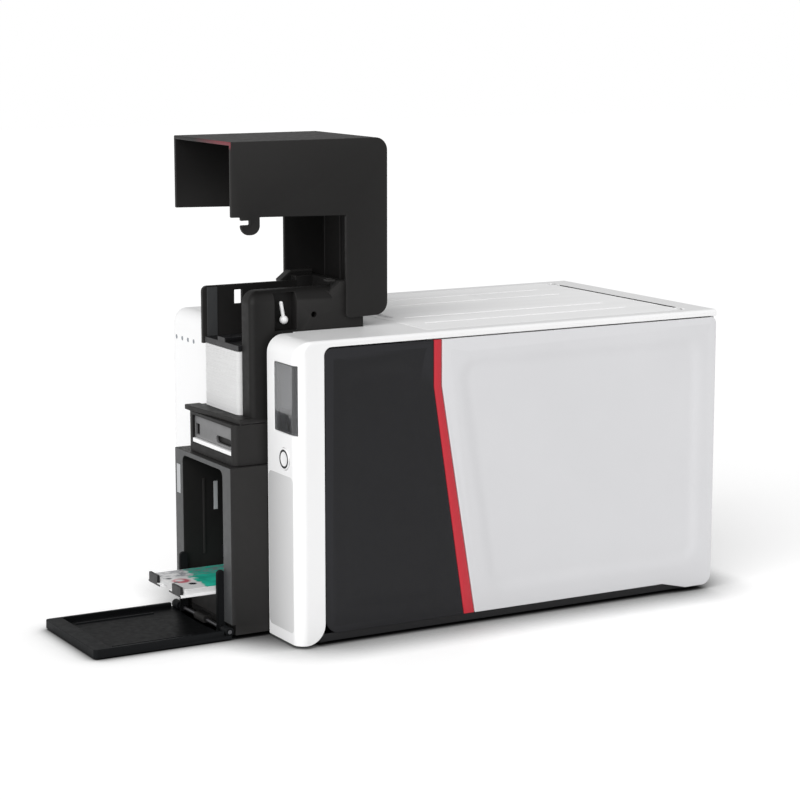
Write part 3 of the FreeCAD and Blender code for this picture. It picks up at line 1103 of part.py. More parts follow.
def make_drive():
    axle, pulley = read("axle_z"), read("pulley_radius")
    belt("drive_belt", "belt_x_low", (read("pickup_y"), axle, pulley), (read("exit_y"), axle, pulley))
    belt("motor_belt", "motor_belt_low", (read("platen_y"), axle, read("platen_pulley")),
         (read("motor_y"), read("motor_z"), read("motor_pulley")))
    half = "motor_size / 2"
    can = block("motor_can", ("frame_in_left + slip", "frame_in_left + slip + motor_length"),
                (f"motor_y - {half}", f"motor_y + {half}"), (f"motor_z - {half}", f"motor_z + {half}"))
    can = rounded("drive_motor", can, ("feeder_round", lambda e: runs_along(e, "x")))
    node(can, "drive_motor")
    shaft = rod("motor_spindle", "x", ("motor_y", "motor_z"), ("motor_belt_low", "frame_in_left"),
                "motor_shaft")
    wheel = rod("motor_wheel", "x", ("motor_y", "motor_z"), ("motor_belt_low", "motor_belt_high"),
                "motor_pulley")
    node(fuse("motor_pulley", shaft, wheel), "motor_pulley")
    rails = []
    for side, low, high in (("left", "frame_in_left + slip", "channel_left"),
                            ("right", "channel_right", "frame_right - slip")):
        flat = block("rail_flat_" + side, (low, high),
                     ("front_y + rail_front_back", "rear_y - rail_rear_gap"),
                     ("floor_under", "rail_top"))
        lip_span = (high + " - rail_inset", high) if side == "left" else (low, low + " + rail_inset")
        lip = block("rail_lip_" + side, lip_span,
                    ("front_y + rail_front_back", "rear_y - rail_rear_gap"),
                    ("floor_under", "rail_top + rail_lip"))
        rails.append(fuse("rail_" + side, flat, lip))
    node(group("card_rails", *rails), "card_rails")


def make_ribbon():
    """The cassette that holds both ribbon spools, and the web that runs under the head."""
    ends = []
    front = "takeup_y - core_radius - cassette_end"
    rear = "supply_y + core_radius + cassette_end"
    for side, low, high in (("left", "cassette_left - cassette_wall", "cassette_left"),
                            ("right", "cassette_right", "cassette_right + cassette_wall")):
        cheek = block("cheek_" + side, (low, high), (front, rear), ("rail_top + slip", "cassette_high"))
        holes = [rod("cheek_hole", "x", (y, "spool_z"), (low + " - overrun", high + " + overrun"),
                     "core_radius + running_gap") for y in ("takeup_y", "supply_y")]
        ends.append(cut("cheek_cut_" + side, cheek, *holes))
    for y in (front + " + cassette_bar", rear + " - cassette_bar"):
        ends.append(rod("cassette_bar", "x", (y, "cassette_high - cassette_bar"),
                        ("cassette_left - cassette_wall", "cassette_right + cassette_wall"),
                        "cassette_bar / 2"))
    node(fuse("ribbon_cassette", *ends), "ribbon_cassette")
    for name, y, radius, out in (("supply_spool", "supply_y", "supply_radius",
                                  "frame_right + frame_plate"),
                                 ("takeup_spool", "takeup_y", "takeup_radius",
                                  "frame_right + frame_plate")):
        wound = rod(name + "_roll", "x", (y, "spool_z"), ("channel_left", "channel_right"), radius)
        core = rod(name + "_core", "x", (y, "spool_z"), ("cassette_left - cassette_wall - slip",
                                                         "cassette_right + cassette_wall + slip"),
                   "core_radius")
        spindle = rod(name + "_spindle", "x", (y, "spool_z"), ("frame_left", out), "spindle_radius")
        node(fuse(name, wound, core, spindle), name)
    make_web()
    body = rod("ribbon_motor", "x", ("takeup_y", "spool_z"),
               ("frame_right + frame_plate + slip",
                "frame_right + frame_plate + slip + ribbon_motor_length"),
               "ribbon_motor_radius")
    node(body, "ribbon_motor")


def make_web():
    """A thin band from the supply roll, under the head's edge and up to the take-up roll."""
    under = "head_low - slip"
    points = [("supply_y - supply_radius / 2", "spool_z - supply_radius - slip - ribbon_thick"),
              ("platen_y + nose_half", under + " - ribbon_thick"),
              ("platen_y - nose_half", under + " - ribbon_thick"),
              ("takeup_y + takeup_radius / 2", "spool_z - takeup_radius - 4 * slip - ribbon_thick"),
              ("takeup_y + takeup_radius / 2", "spool_z - takeup_radius - 4 * slip"),
              ("platen_y - nose_half", under), ("platen_y + nose_half", under),
              ("supply_y - supply_radius / 2", "spool_z - supply_radius - slip")]
    node(prism("ribbon_web", "YZ", points, ("card_left", "card_right")), "ribbon_web")


def make_electronics():
    x = ("-side_x + base_inset + board_side", "-side_x + base_inset + board_side + board_thick")
    length = ("board_front", "board_rear")
    sheet_part = block("board_sheet", x, length, ("base_floor + slip", "board_top"))
    chips = [block("board_chip", (x[1], f"{x[1]} + chip_thick"),
                   (f"{length[0]} + chip_size + {i} * chip_pitch",
                    f"{length[0]} + 2 * chip_size + {i} * chip_pitch"),
                   ("board_top / 2 - chip_size / 2", "board_top / 2 + chip_size / 2"))
             for i in range(SIZES["chip_count"])]
    node(fuse("control_board", sheet_part, *chips), "control_board")
    for name, mid, width, height in (("usb_socket", "usb_mid", "usb_width", "usb_height"),
                                     ("network_socket", "net_mid", "net_width", "net_height")):
        shell = block(name + "_shell", (f"{mid} - {width} / 2", f"{mid} + {width} / 2"),
                      ("rear_out - socket_depth", "rear_out"),
                      (f"socket_z - {height} / 2", f"socket_z + {height} / 2"))
        room = block(name + "_room",
                     (f"{mid} - {width} / 2 + socket_wall", f"{mid} + {width} / 2 - socket_wall"),
                     ("rear_out - socket_depth + 2 * socket_wall", "rear_out + overrun"),
                     (f"socket_z - {height} / 2 + socket_wall",
                      f"socket_z + {height} / 2 - socket_wall"))
        node(cut(name, shell, room), name)
    body = block("inlet_body", ("inlet_mid - inlet_width / 2", "inlet_mid + inlet_width / 2"),
                 ("rear_out - socket_depth", "rear_out"),
                 ("socket_z - inlet_height / 2", "socket_z + inlet_height / 2"))
    mouth = rod("inlet_mouth", "y", ("inlet_mid", "socket_z"),
                ("rear_out - socket_depth + 2 * socket_wall", "rear_out + overrun"),
                "inlet_hole")
    pin = rod("inlet_prong", "y", ("inlet_mid", "socket_z"),
              ("rear_out - socket_depth + socket_wall", "rear_out - socket_wall"),
              "inlet_pin")
    node(fuse("power_inlet", cut("inlet_shell", body, mouth), pin), "power_inlet")
    make_rocker()


def make_rocker():
    span = ("rocker_mid - rocker_length / 2", "rocker_mid + rocker_length / 2")
    barrel = rod("rocker_round", "x", ("rocker_y", "socket_z"), span, "rocker_barrel")
    corners = [("paddle_in", "-paddle_half"), ("paddle_out", "-paddle_half"),
               ("paddle_out", "paddle_half"),
               ("paddle_in", "paddle_half")]
    tilted = [(f"rocker_y + {out} * cos(rocker_tilt) + ({up}) * sin(rocker_tilt)",
               f"socket_z - {out} * sin(rocker_tilt) + ({up}) * cos(rocker_tilt)") for out,
              up in corners]
    paddle = prism("rocker_paddle", "YZ", tilted, span)
    node(fuse("power_rocker", barrel, paddle), "power_rocker")
    wide = ("rocker_mid - rocker_length / 2 - slip - rocker_skin",
            "rocker_mid + rocker_length / 2 + slip + rocker_skin")
    case = block("rocker_case", wide,
                 ("rocker_y - rocker_barrel - slip - rocker_skin", "rear_in - slip"),
                 ("socket_z - rocker_window - rocker_skin", "socket_z + rocker_window + rocker_skin"))
    inner_x = ("rocker_mid - rocker_length / 2 - slip", "rocker_mid + rocker_length / 2 + slip")
    groove = rod("rocker_groove", "x", ("rocker_y", "socket_z"), inner_x, "rocker_barrel + slip")
    room = block("rocker_room", inner_x,
                 ("rear_in - slip - rocker_skin - rocker_skin", "rear_in + overrun"),
                 ("socket_z - rocker_window", "socket_z + rocker_window"))
    node(cut("rocker_housing", case, groove, room), "rocker_housing")


def check_and_write():
    """Stop on any failed object or empty shape, then write one file for each piece."""
    doc.recompute()
    failed = [obj.Label for obj in doc.Objects if {"Invalid", "Error"} & set(obj.State)]
    if failed:
        raise RuntimeError("failed objects: " + ", ".join(failed))
    labels = [obj.Label for obj in nodes]
    if len(set(labels)) != len(labels):
        raise RuntimeError("two pieces share a name")
    for obj in nodes:
        if obj.Shape.isNull() or not obj.Shape.isValid() or not obj.Shape.Solids:
            raise RuntimeError("bad shape: " + obj.Label)
    os.makedirs("parts", exist_ok=True)
    for obj in nodes:
        obj.Shape.exportStep(f"parts/{obj.Label}.step")
        print(f"{obj.Label}: {len(obj.Shape.Solids)} solid(s), {obj.Shape.Volume / 1000:.2f} cm3")


fill_sheet()
make_base()
make_main_cover()
make_side_panels()
make_rear_cover()
make_hopper()
make_door()
make_tray()
make_feeder()
make_feeder_base()
make_feeder_cover()
make_lid()
make_front_strip()
make_frames()
make_rollers()
make_drive()
make_ribbon()
make_electronics()
check_and_write()
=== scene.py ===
"""Dresses the desktop card printer over its CAD frame, in metres.

Hard pieces are copies of their CAD solids with soft edges and moulded detail; the side panels' dishes,
cards, ribs, screws and the like are modelled here. +Z is up and the card feeder's end faces -Y.
"""

import json
import math
import random

import bmesh
import bpy
from bpy.props import FloatProperty, FloatVectorProperty, PointerProperty
from mathutils import Matrix, Vector, geometry
from mathutils.bvhtree import BVHTree

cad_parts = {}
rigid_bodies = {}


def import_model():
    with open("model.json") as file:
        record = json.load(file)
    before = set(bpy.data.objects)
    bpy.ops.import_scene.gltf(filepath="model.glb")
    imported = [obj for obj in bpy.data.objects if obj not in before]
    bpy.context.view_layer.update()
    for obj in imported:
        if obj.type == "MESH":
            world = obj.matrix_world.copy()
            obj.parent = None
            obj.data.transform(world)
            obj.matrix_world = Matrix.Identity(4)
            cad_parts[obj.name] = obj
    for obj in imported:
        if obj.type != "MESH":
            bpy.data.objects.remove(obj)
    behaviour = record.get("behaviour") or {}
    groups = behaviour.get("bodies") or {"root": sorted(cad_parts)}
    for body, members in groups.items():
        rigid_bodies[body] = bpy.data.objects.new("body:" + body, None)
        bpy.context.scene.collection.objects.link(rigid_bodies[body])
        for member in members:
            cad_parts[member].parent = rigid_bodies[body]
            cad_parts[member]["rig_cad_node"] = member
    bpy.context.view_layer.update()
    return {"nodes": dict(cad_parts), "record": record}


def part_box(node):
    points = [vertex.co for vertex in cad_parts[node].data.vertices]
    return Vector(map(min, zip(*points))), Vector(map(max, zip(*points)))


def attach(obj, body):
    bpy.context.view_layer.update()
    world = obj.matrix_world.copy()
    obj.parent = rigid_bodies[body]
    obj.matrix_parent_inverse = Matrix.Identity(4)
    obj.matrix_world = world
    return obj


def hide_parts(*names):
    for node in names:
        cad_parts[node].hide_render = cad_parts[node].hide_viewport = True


bl_info = {
    "name": "Card printer",
    "version": (1, 0, 0),
    "blender": (4, 5, 0),
    "location": "3D View > Sidebar > Card printer",
    "description": "Dresses a desktop card printer over its CAD frame",
    "category": "Object",
}

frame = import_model()
NODES = frame["nodes"]
BODY_OF = {node: body for body, members in frame["record"]["behaviour"]["bodies"].items()
           for node in members}
MM = 0.001
WHITE, BLACK = (1, 1, 1), (0, 0, 0)
FLOOR_TONE = (0.86, 0.86, 0.86)
GRAIN_SCALE, GRAIN_RELIEF = 2600.0, 0.00003
SMOOTH_ANGLE = math.radians(35)
SINK = 0.2 * MM  # how far an added rib reaches into its wall
CARD_CORNER = 3.18 * MM
DISH_STEPS = (0.03, 0.11, 0.22, 0.28, 0.22, 0.11, 0.03)  # shares of a dish's depth, from outside in
KEY_AIM = Vector((-0.54, 0.69, -0.48))
CAMERA_PLACE = Vector((1.46476, -0.80101, 0.43628))
CAMERA_AXES = ((0.49270, 0.87020, 0.0), (-0.14805, 0.08382, 0.98542), (0.85751, -0.48551, 0.17013))


def colour(label, default, about):
    return FloatVectorProperty(name=label, description=about, subtype="COLOR", size=3, min=0, max=1,
                               default=default)


def length(label, default, about):
    return FloatProperty(name=label, description=about, unit="LENGTH", default=default, min=0)


def amount(label, default, about):
    return FloatProperty(name=label, description=about, default=default, min=0)


class FinishSettings(bpy.types.PropertyGroup):
    white: colour("White shell", (0.865, 0.865, 0.868), "Front strips, top and lid")
    pale: colour("Pale panels", (0.665, 0.665, 0.68), "Rear side panels")
    charcoal: colour("Charcoal panels", (0.0085, 0.0085, 0.010), "Front side panels")
    tower: colour("Tower plastic", (0.0112, 0.0108, 0.0106), "Feeder, cover, hopper and door")
    lip: colour("Worn lip", (0.034, 0.035, 0.036), "Hopper's front lip and other handled edges")
    trim: colour("Slanted strip", (0.48, 0.010, 0.024), "Strip between the side panels")
    card: colour("Card", (0.82, 0.82, 0.82), "Blank card surface")
    card_green: colour("Card green", (0.02, 0.40, 0.29), "Green field of the printed card")
    card_rose: colour("Card rose", (0.62, 0.16, 0.20), "Petals on the printed card")
    circuit: colour("Circuit board", (0.012, 0.11, 0.045), "Lacquer of the boards")
    film: colour("Ribbon film", (0.09, 0.03, 0.12), "Dyed ribbon")


class DetailSettings(bpy.types.PropertyGroup):
    soft_edge: length("Soft edge", 0.45 * MM, "Radius on moulded edges")
    metal_edge: length("Metal edge", 0.2 * MM, "Radius on metal edges")
    dish_border: length("Dish border", 11 * MM, "Width of the side panels' flat border")
    dish_slope: length("Dish slope", 13 * MM, "Width of the soft step inside the border")
    dish_round: length("Dish corner", 17 * MM, "Corner radius of the dished field")
    dish_depth: length("Dish depth", 0.8 * MM, "How far the side panels' faces lie in")
    card_gap: length("Card shuffle", 0.16 * MM, "How far single cards lie out of line")
    rib: length("Rib", 0.8 * MM, "Height of stiffening ribs")
    tooth_pitch: length("Belt pitch", 2.0 * MM, "Distance between belt teeth")


class StageSettings(bpy.types.PropertyGroup):
    lens: amount("Lens", 104.7, "Focal length on a 36 mm sensor")
    key_power: amount("Key light", 2.4, "Strength of the broad front light")
    key_spread: FloatProperty(name="Key spread", description="Angle that the front light fills",
                              subtype="ANGLE", default=math.radians(60), min=0, max=math.pi)
    sky: amount("Sky", 0.50, "Strength of the pale surroundings")
    floor_glow: amount("Floor glow", 0.31, "How much brighter the floor is seen")
    contact: length("Contact shade", 45 * MM, "How far round a foot the floor is shaded")
    contact_depth: amount("Contact depth", 2.0, "How strongly the floor is shaded there")


def finish():
    return bpy.context.scene.printer_finish


def detail():
    return bpy.context.scene.printer_detail


# Materials

class Graph:
    """The nodes of a material or a world, added and linked a step at a time."""

    def __init__(self, owner):
        owner.use_nodes = True
        self.nodes, self.links = owner.node_tree.nodes, owner.node_tree.links

    def add(self, kind, **values):
        node = self.nodes.new(kind)
        for key, value in values.items():
            setattr(node, key, value)
        return node

    def plug(self, sockets, *values):
        """Link each socket to the one given for it, or set its constant."""
        for socket, value in zip(sockets, values):
            if isinstance(value, bpy.types.NodeSocket):
                self.links.new(value, socket)
            elif socket.type == "RGBA" and len(value) == 3:
                socket.default_value = (*value, 1)
            else:
                socket.default_value = value

    def feed(self, node, **inputs):
        """Plug a node's sockets by their names, with _ for a space."""
        for key, value in inputs.items():
            self.plug([node.inputs[key.replace("_", " ")]], value)

    def mix(self, factor, first, second):
        node = self.add("ShaderNodeMix", data_type="RGBA")
        self.plug((node.inputs[0], node.inputs[6], node.inputs[7]), factor, first, second)
        return node.outputs[2]

    def maths(self, kind, first, second):
        node = self.add("ShaderNodeMath", operation=kind)
        self.plug(node.inputs, first, second)
        return node.outputs[0]

    def times(self, first, second):
        return self.maths("MULTIPLY", first, second)

    def seen(self):
        """1 for camera, glossy and transmission rays."""
        rays = self.add("ShaderNodeLightPath").outputs
        value = rays["Is Camera Ray"]
        for name in ("Is Glossy Ray", "Is Transmission Ray"):
            value = self.maths("MAXIMUM", value, rays[name])
        return value


class Recipe(Graph):
    """A node material around one Principled shader."""

    def __init__(self, name, base, roughness, metallic=0.0, coat=0.0):
        self.material = bpy.data.materials.new(name)
        super().__init__(self.material)
        self.shader = self.nodes["Principled BSDF"]
        self.tune(Base_Color=base, Roughness=roughness, Metallic=metallic, Coat_Weight=coat)
        self.place = self.add("ShaderNodeTexCoord").outputs["Object"]

    def tune(self, **inputs):
        self.feed(self.shader, **inputs)

    def stretched(self, scale):
        """Object coordinates scaled by a different amount on each axis."""
        mapping = self.add("ShaderNodeMapping")
        self.feed(mapping, Vector=self.place, Scale=scale)
        return mapping.outputs["Vector"]

    def noise(self, scale, detail_level=2.0, place=None):
        node = self.add("ShaderNodeTexNoise")
        self.feed(node, Vector=place or self.place, Scale=scale, Detail=detail_level)
        return node.outputs["Fac"]

    def spread(self, value, low, high, low_at=0.3, high_at=0.7):
        """Stretch the values between two levels over a new range."""
        node = self.add("ShaderNodeMapRange")
        self.feed(node, Value=value, From_Min=low_at, From_Max=high_at, To_Min=low, To_Max=high)
        return node.outputs["Result"]

    def cloud(self, *noise):
        """Soft blotches from 0 to 1."""
        return self.spread(self.noise(*noise), 0.0, 1.0)

    def bands(self, axis, scale, profile, distortion=0.0):
        node = self.add("ShaderNodeTexWave", bands_direction=axis, wave_profile=profile)
        self.feed(node, Vector=self.place, Scale=scale, Distortion=distortion)
        return node.outputs["Fac"]

    def axis(self, name):
        node = self.add("ShaderNodeSeparateXYZ")
        self.feed(node, Vector=self.place)
        return node.outputs[name]

    def ramp(self, name, start, end):
        """0 before one place on an axis and 1 past another."""
        if start < end:
            return self.spread(self.axis(name), 0.0, 1.0, start, end)
        return self.spread(self.axis(name), 1.0, 0.0, end, start)

    def worn(self):
        """1 on outer edges, 0 elsewhere."""
        geometry = self.add("ShaderNodeNewGeometry")
        return self.spread(geometry.outputs["Pointiness"], 0.0, 1.0, 0.515, 0.56)

    def bump(self, height, strength, distance):
        node = self.add("ShaderNodeBump")
        self.feed(node, Height=height, Strength=strength, Distance=distance)
        self.tune(Normal=node.outputs["Normal"])

    def grain(self, strength):
        """The fine spark-eroded relief of moulded plastic."""
        self.bump(self.noise(GRAIN_SCALE), strength, GRAIN_RELIEF)

    def paint(self, tone):
        self.tune(Base_Color=tone)

    def roughen(self, value):
        self.tune(Roughness=value)


def shade(base, factor):
    return tuple(min(1.0, channel * factor) for channel in base)


def moulded(name, base, roughness, grain=0.5, wear=1.35, drift=0.06, gloss=0.5):
    """Moulded plastic: a fine spark-eroded grain, faint drifts of tone and paler edges."""
    recipe = Recipe(name, base, roughness)
    recipe.tune(Specular_IOR_Level=gloss)
    tone = recipe.mix(recipe.cloud(14.0, 3.0), shade(base, 1 - drift), shade(base, 1 + drift))
    recipe.paint(recipe.mix(recipe.times(recipe.worn(), 0.6), tone, shade(base, wear)))
    recipe.roughen(recipe.spread(recipe.noise(220.0, 4.0), roughness - 0.05, roughness + 0.06))
    recipe.grain(grain)
    return recipe.material


def lid_with_painted_sheen(base):
    """The lid's white, painted brighter than the shell's in faint lengthwise streaks, with a paler long
    band: painted light and sheen on the top.
    """
    recipe = Recipe("lid_shell_painted_sheen", base, 0.4)
    recipe.tune(Specular_IOR_Level=0.06)
    streaks = recipe.cloud(1.0, 2.0, recipe.stretched((60.0, 2.5, 1.0)))
    # Painted light: the lid's white is raised above the shell's, in streaks, to stand for the light on
    # its top.
    tone = recipe.mix(streaks, shade(base, 1.06), shade(base, 1.13))
    low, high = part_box("top_lid")
    # Painted sheen: a paler long band down the middle of the lid's top.
    across = recipe.times(recipe.ramp("X", low.x + 26 * MM, low.x + 34 * MM),
                          recipe.ramp("X", low.x + 74 * MM, low.x + 66 * MM))
    along = recipe.times(recipe.ramp("Y", low.y + 10 * MM, low.y + 18 * MM),
                         recipe.ramp("Y", high.y - 96 * MM, high.y - 104 * MM))
    recipe.paint(recipe.mix(recipe.times(across, along), tone, shade(base, 1.16)))
    recipe.grain(0.2)
    return recipe.material


def painted_strip_shadow(base):
    """Satin grey strip, darker beside the feeder: painted shadow of the feeder tower on the front
    strip.
    """
    recipe = Recipe("strip_painted_shadow", base, 0.42)
    low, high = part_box("window_backing")
    # Painted shadow: darker towards the feeder, where the feeder tower's shadow falls on the front
    # strip.
    tone = recipe.mix(recipe.ramp("X", low.x - 8 * MM, high.x), shade(base, 0.60), shade(base, 0.86))
    recipe.paint(recipe.mix(recipe.spread(recipe.noise(9.0), 0.0, 0.25), tone, shade(base, 0.7)))
    recipe.grain(0.3)
    return recipe.material


def gleaming(base):
    """The cover's front rim: its plastic with a faint red gleam along the top lip."""
    recipe = Recipe("cover_rim", base, 0.44)
    recipe.tune(Specular_IOR_Level=0.26)
    low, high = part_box("feeder_cover")
    gleam = recipe.times(recipe.ramp("X", (low.x + high.x) / 2 - 12 * MM, high.x - 14 * MM),
                         recipe.ramp("Z", high.z - 5.5 * MM, high.z - 3 * MM))
    recipe.paint(recipe.mix(gleam, base, (0.17, 0.03, 0.04)))
    recipe.grain(0.5)
    return recipe.material


def brushed(name, base, roughness, scale=(60.0, 1800.0, 1800.0)):
    """Metal with fine lines along X."""
    recipe = Recipe(name, base, roughness, metallic=1.0)
    lines = recipe.noise(1.0, 3.0, recipe.stretched(scale))
    recipe.roughen(recipe.spread(lines, roughness - 0.08, roughness + 0.1))
    recipe.paint(recipe.mix(recipe.cloud(30.0), shade(base, 0.9), base))
    recipe.bump(lines, 0.25, 0.00002)
    return recipe.material


def rubber(name, base=(0.018, 0.018, 0.018), pitch=0.0012):
    """Matt rubber with fine grooves along its roller."""
    recipe = Recipe(name, base, 0.82)
    recipe.bump(recipe.bands("X", 0.05 / pitch, "SIN", 0.4), 0.35, 0.00008)
    recipe.paint(recipe.mix(recipe.cloud(90.0, 4.0), shade(base, 0.7), shade(base, 1.6)))
    return recipe.material


def belting():
    """Ribbed rubber whose teeth run across the belt."""
    recipe = Recipe("belt_rubber", (0.02, 0.02, 0.021), 0.7)
    recipe.bump(recipe.bands("Y", 0.05 / detail().tooth_pitch, "TRI"), 0.8, 0.0002)
    return recipe.material


def card_plastic():
    """Smooth white card with hardly any relief and a faint satin sheen."""
    base = finish().card
    recipe = Recipe("card_plastic", base, 0.32)
    recipe.paint(recipe.mix(recipe.cloud(40.0), shade(base, 0.97), base))
    recipe.bump(recipe.noise(900.0), 0.05, 0.00002)
    return recipe.material


def card_edges():
    """The cut edge of a card, a shade darker than its face."""
    base = shade(finish().card, 0.86)
    recipe = Recipe("card_edge", base, 0.5)
    layers = recipe.cloud(1.0, 2.0, recipe.stretched((40.0, 40.0, 6000.0)))
    recipe.paint(recipe.mix(layers, shade(base, 0.9), base))
    return recipe.material


def disc_mask(recipe, centre, radius, soft):
    """1 inside a circle in the card's plane, 0 outside."""
    def step(kind, *values):
        node = recipe.add("ShaderNodeVectorMath", operation=kind)
        recipe.plug(node.inputs, *values)
        return node.outputs
    flat = step("MULTIPLY", step("SUBTRACT", recipe.place, centre)[0], (1, 1, 0))
    reach = step("LENGTH", flat[0])["Value"]
    return recipe.spread(reach, 1.0, 0.0, radius - soft, radius + soft)


def printed_face(low, high):
    """A generic printed design: green field, rose petals, dark spots and a grey cloud on white."""
    base = finish().card
    recipe = Recipe("printed_face", base, 0.22)
    size = high - low
    across = lambda share: low.x + size.x * share
    along = lambda share: low.y + size.y * share
    ruffle = recipe.spread(recipe.noise(160.0, 3.0), -0.003, 0.003)
    slope = recipe.times(recipe.maths("SUBTRACT", recipe.axis("X"), high.x), 0.11)
    edge = recipe.maths("ADD", recipe.maths("ADD", recipe.axis("Y"), slope), ruffle)
    green = recipe.spread(edge, 0.0, 1.0, along(0.185), along(0.215))
    leaf = recipe.mix(recipe.cloud(110.0, 3.0), finish().card_green, shade(finish().card_green, 1.6))
    tone = recipe.mix(green, base, leaf)
    place = lambda x, y: (across(x), along(y), 0)
    rose = disc_mask(recipe, place(0.56, 0.105), 0.0062, 0.0012)
    heart = disc_mask(recipe, place(0.53, 0.10), 0.0028, 0.0012)
    tone = recipe.mix(recipe.maths("SUBTRACT", rose, heart), tone, finish().card_rose)
    for x, y, radius in ((0.76, 0.15, 0.0028), (0.38, 0.045, 0.0021), (0.60, 0.05, 0.0016)):
        tone = recipe.mix(disc_mask(recipe, place(x, y), radius, 0.0006), tone, (0.02, 0.02, 0.03))
    patches = recipe.spread(recipe.noise(240.0), 0.1, 0.75, 0.42, 0.58)
    band = recipe.times(recipe.ramp("X", across(0.42), across(0.30)), patches)
    recipe.paint(recipe.mix(band, tone, (0.22, 0.23, 0.26)))
    return recipe.material


def smoked_glass():
    """Grey see-through plastic."""
    recipe = Recipe("smoked_window", (0.80, 0.81, 0.83), 0.05)
    recipe.tune(Transmission_Weight=0.97, IOR=1.49)
    recipe.roughen(recipe.spread(recipe.noise(160.0), 0.02, 0.05))
    return recipe.material


def lamp_plastic():
    recipe = Recipe("lamp_plastic", (0.36, 0.4, 0.44), 0.25)
    recipe.tune(Transmission_Weight=0.4)
    recipe.bump(recipe.noise(1500.0), 0.2, 0.00003)
    return recipe.material


def lacquered_board():
    """Green lacquer over copper tracks."""
    base = finish().circuit
    recipe = Recipe("circuit_board", base, 0.35, coat=0.4)
    tracks = recipe.add("ShaderNodeTexBrick", offset=0.5)
    recipe.feed(tracks, Vector=recipe.stretched((1.0, 1.0, 1.0)), Scale=90.0, Mortar_Size=0.03)
    recipe.feed(tracks, Color1=base, Color2=shade(base, 0.8), Mortar=shade(base, 2.4))
    recipe.paint(tracks.outputs["Color"])
    recipe.bump(recipe.noise(700.0), 0.2, 0.00004)
    return recipe.material


def dyed_film():
    """Glossy dyed film in its panels of colour."""
    recipe = Recipe("ribbon_film", finish().film, 0.18)
    bands = recipe.bands("X", 400.0, "SAW")
    recipe.paint(recipe.mix(bands, finish().film, shade(finish().film, 2.2)))
    recipe.bump(bands, 0.2, 0.00003)
    return recipe.material


def make_materials():
    """Every finish on the printer, by the name that the pieces use."""
    f = finish()
    return {
        "white": moulded("white_shell", f.white, 0.36, grain=0.25, wear=1.05, drift=0.012, gloss=0.4),
        "lid": lid_with_painted_sheen(f.white),
        "pale": moulded("pale_panel", f.pale, 0.40, grain=0.3, wear=1.06, drift=0.015),
        "charcoal": moulded("charcoal_panel", f.charcoal, 0.42, wear=2.2, drift=0.1, gloss=0.26),
        "tower": moulded("tower_plastic", f.tower, 0.5, wear=3.0, drift=0.12, gloss=0.17),
        "lip": moulded("worn_lip", f.lip, 0.36, grain=0.3, wear=1.8, drift=0.1, gloss=0.3),
        "black": moulded("black_plastic", (0.006, 0.006, 0.0065), 0.35, grain=0.3, wear=3.0, drift=0.1,
                         gloss=0.3),
        "door": moulded("door_plastic", (0.0055, 0.0058, 0.0062), 0.36, grain=0.4, wear=3.0, drift=0.12,
                        gloss=0.03),
        "gleam": gleaming(f.tower),
        "jamb_highlight": moulded("pale_jamb_highlight", (0.40, 0.41, 0.42), 0.4, grain=0.3, wear=1.1, drift=0.04),
        "painted_strip_shadow": painted_strip_shadow(f.white),
        "plate": moulded("plate_grey", (0.11, 0.11, 0.112), 0.4, grain=0.6, wear=1.6, drift=0.35),
        "grey": moulded("grey_plastic", (0.30, 0.31, 0.33), 0.45, grain=0.4, wear=1.2, drift=0.05),
        "tray_grey": moulded("window_grey", (0.12, 0.12, 0.122), 0.5, grain=0.3, wear=1.2, drift=0.08),
        "trim": moulded("red_trim", f.trim, 0.33, grain=0.25, wear=1.15, drift=0.04),
        "card": card_plastic(),
        "card_edge": card_edges(),
        "steel": brushed("brushed_steel", (0.56, 0.57, 0.58), 0.32),
        "dark_steel": brushed("dark_steel", (0.20, 0.20, 0.21), 0.38),
        "alloy": brushed("bare_alloy", (0.72, 0.72, 0.73), 0.42, (900.0, 900.0, 80.0)),
        "gold": brushed("contact_gold", (0.80, 0.58, 0.25), 0.25),
        "rubber": rubber("roller_rubber"),
        "foot": rubber("foot_rubber", (0.022, 0.022, 0.023), 0.0008),
        "belt": belting(),
        "window": smoked_glass(),
        "lamp": lamp_plastic(),
        "circuit": lacquered_board(),
        "film": dyed_film(),
    }


MATERIALS = {}
FINE = ("steel", "dark_steel", "alloy", "circuit", "belt")  # finishes whose edges stay sharper


# Modelling by hand: selecting, shaping and seating a piece

def deselect():
    bpy.ops.object.select_all(action="DESELECT")


def named(name):
    """The active piece, under a name of its own."""
    piece = bpy.context.view_layer.objects.active
    piece.name = piece.data.name = name
    return piece


def alone(piece):
    """Deselect everything but one piece, and make it the active one."""
    deselect()
    piece.hide_set(False)
    piece.select_set(True)
    bpy.context.view_layer.objects.active = piece


def edit(piece):
    alone(piece)
    bpy.ops.object.mode_set(mode="EDIT")


def done():
    bpy.ops.object.mode_set(mode="OBJECT")


def pick(piece, faces=None, edges=None, points=None):
    """Select what passes a test on a face, an edge or a vertex; the piece is in edit mode."""
    kind = "FACE" if faces else "EDGE" if edges else "VERT"
    bpy.ops.mesh.select_mode(type=kind)
    bpy.ops.mesh.select_all(action="DESELECT")
    mesh = bmesh.from_edit_mesh(piece.data)
    items = {"FACE": mesh.faces, "EDGE": mesh.edges, "VERT": mesh.verts}[kind]
    test = faces or edges or points
    chosen = [item for item in items if test(item)]
    for item in chosen:
        item.select_set(True)
    mesh.select_flush_mode()
    bmesh.update_edit_mesh(piece.data)
    return len(chosen)


def settle(piece):
    """Put a piece's place into its mesh, so that its object sits at the origin."""
    alone(piece)
    bpy.ops.object.transform_apply(location=True, rotation=True, scale=True)


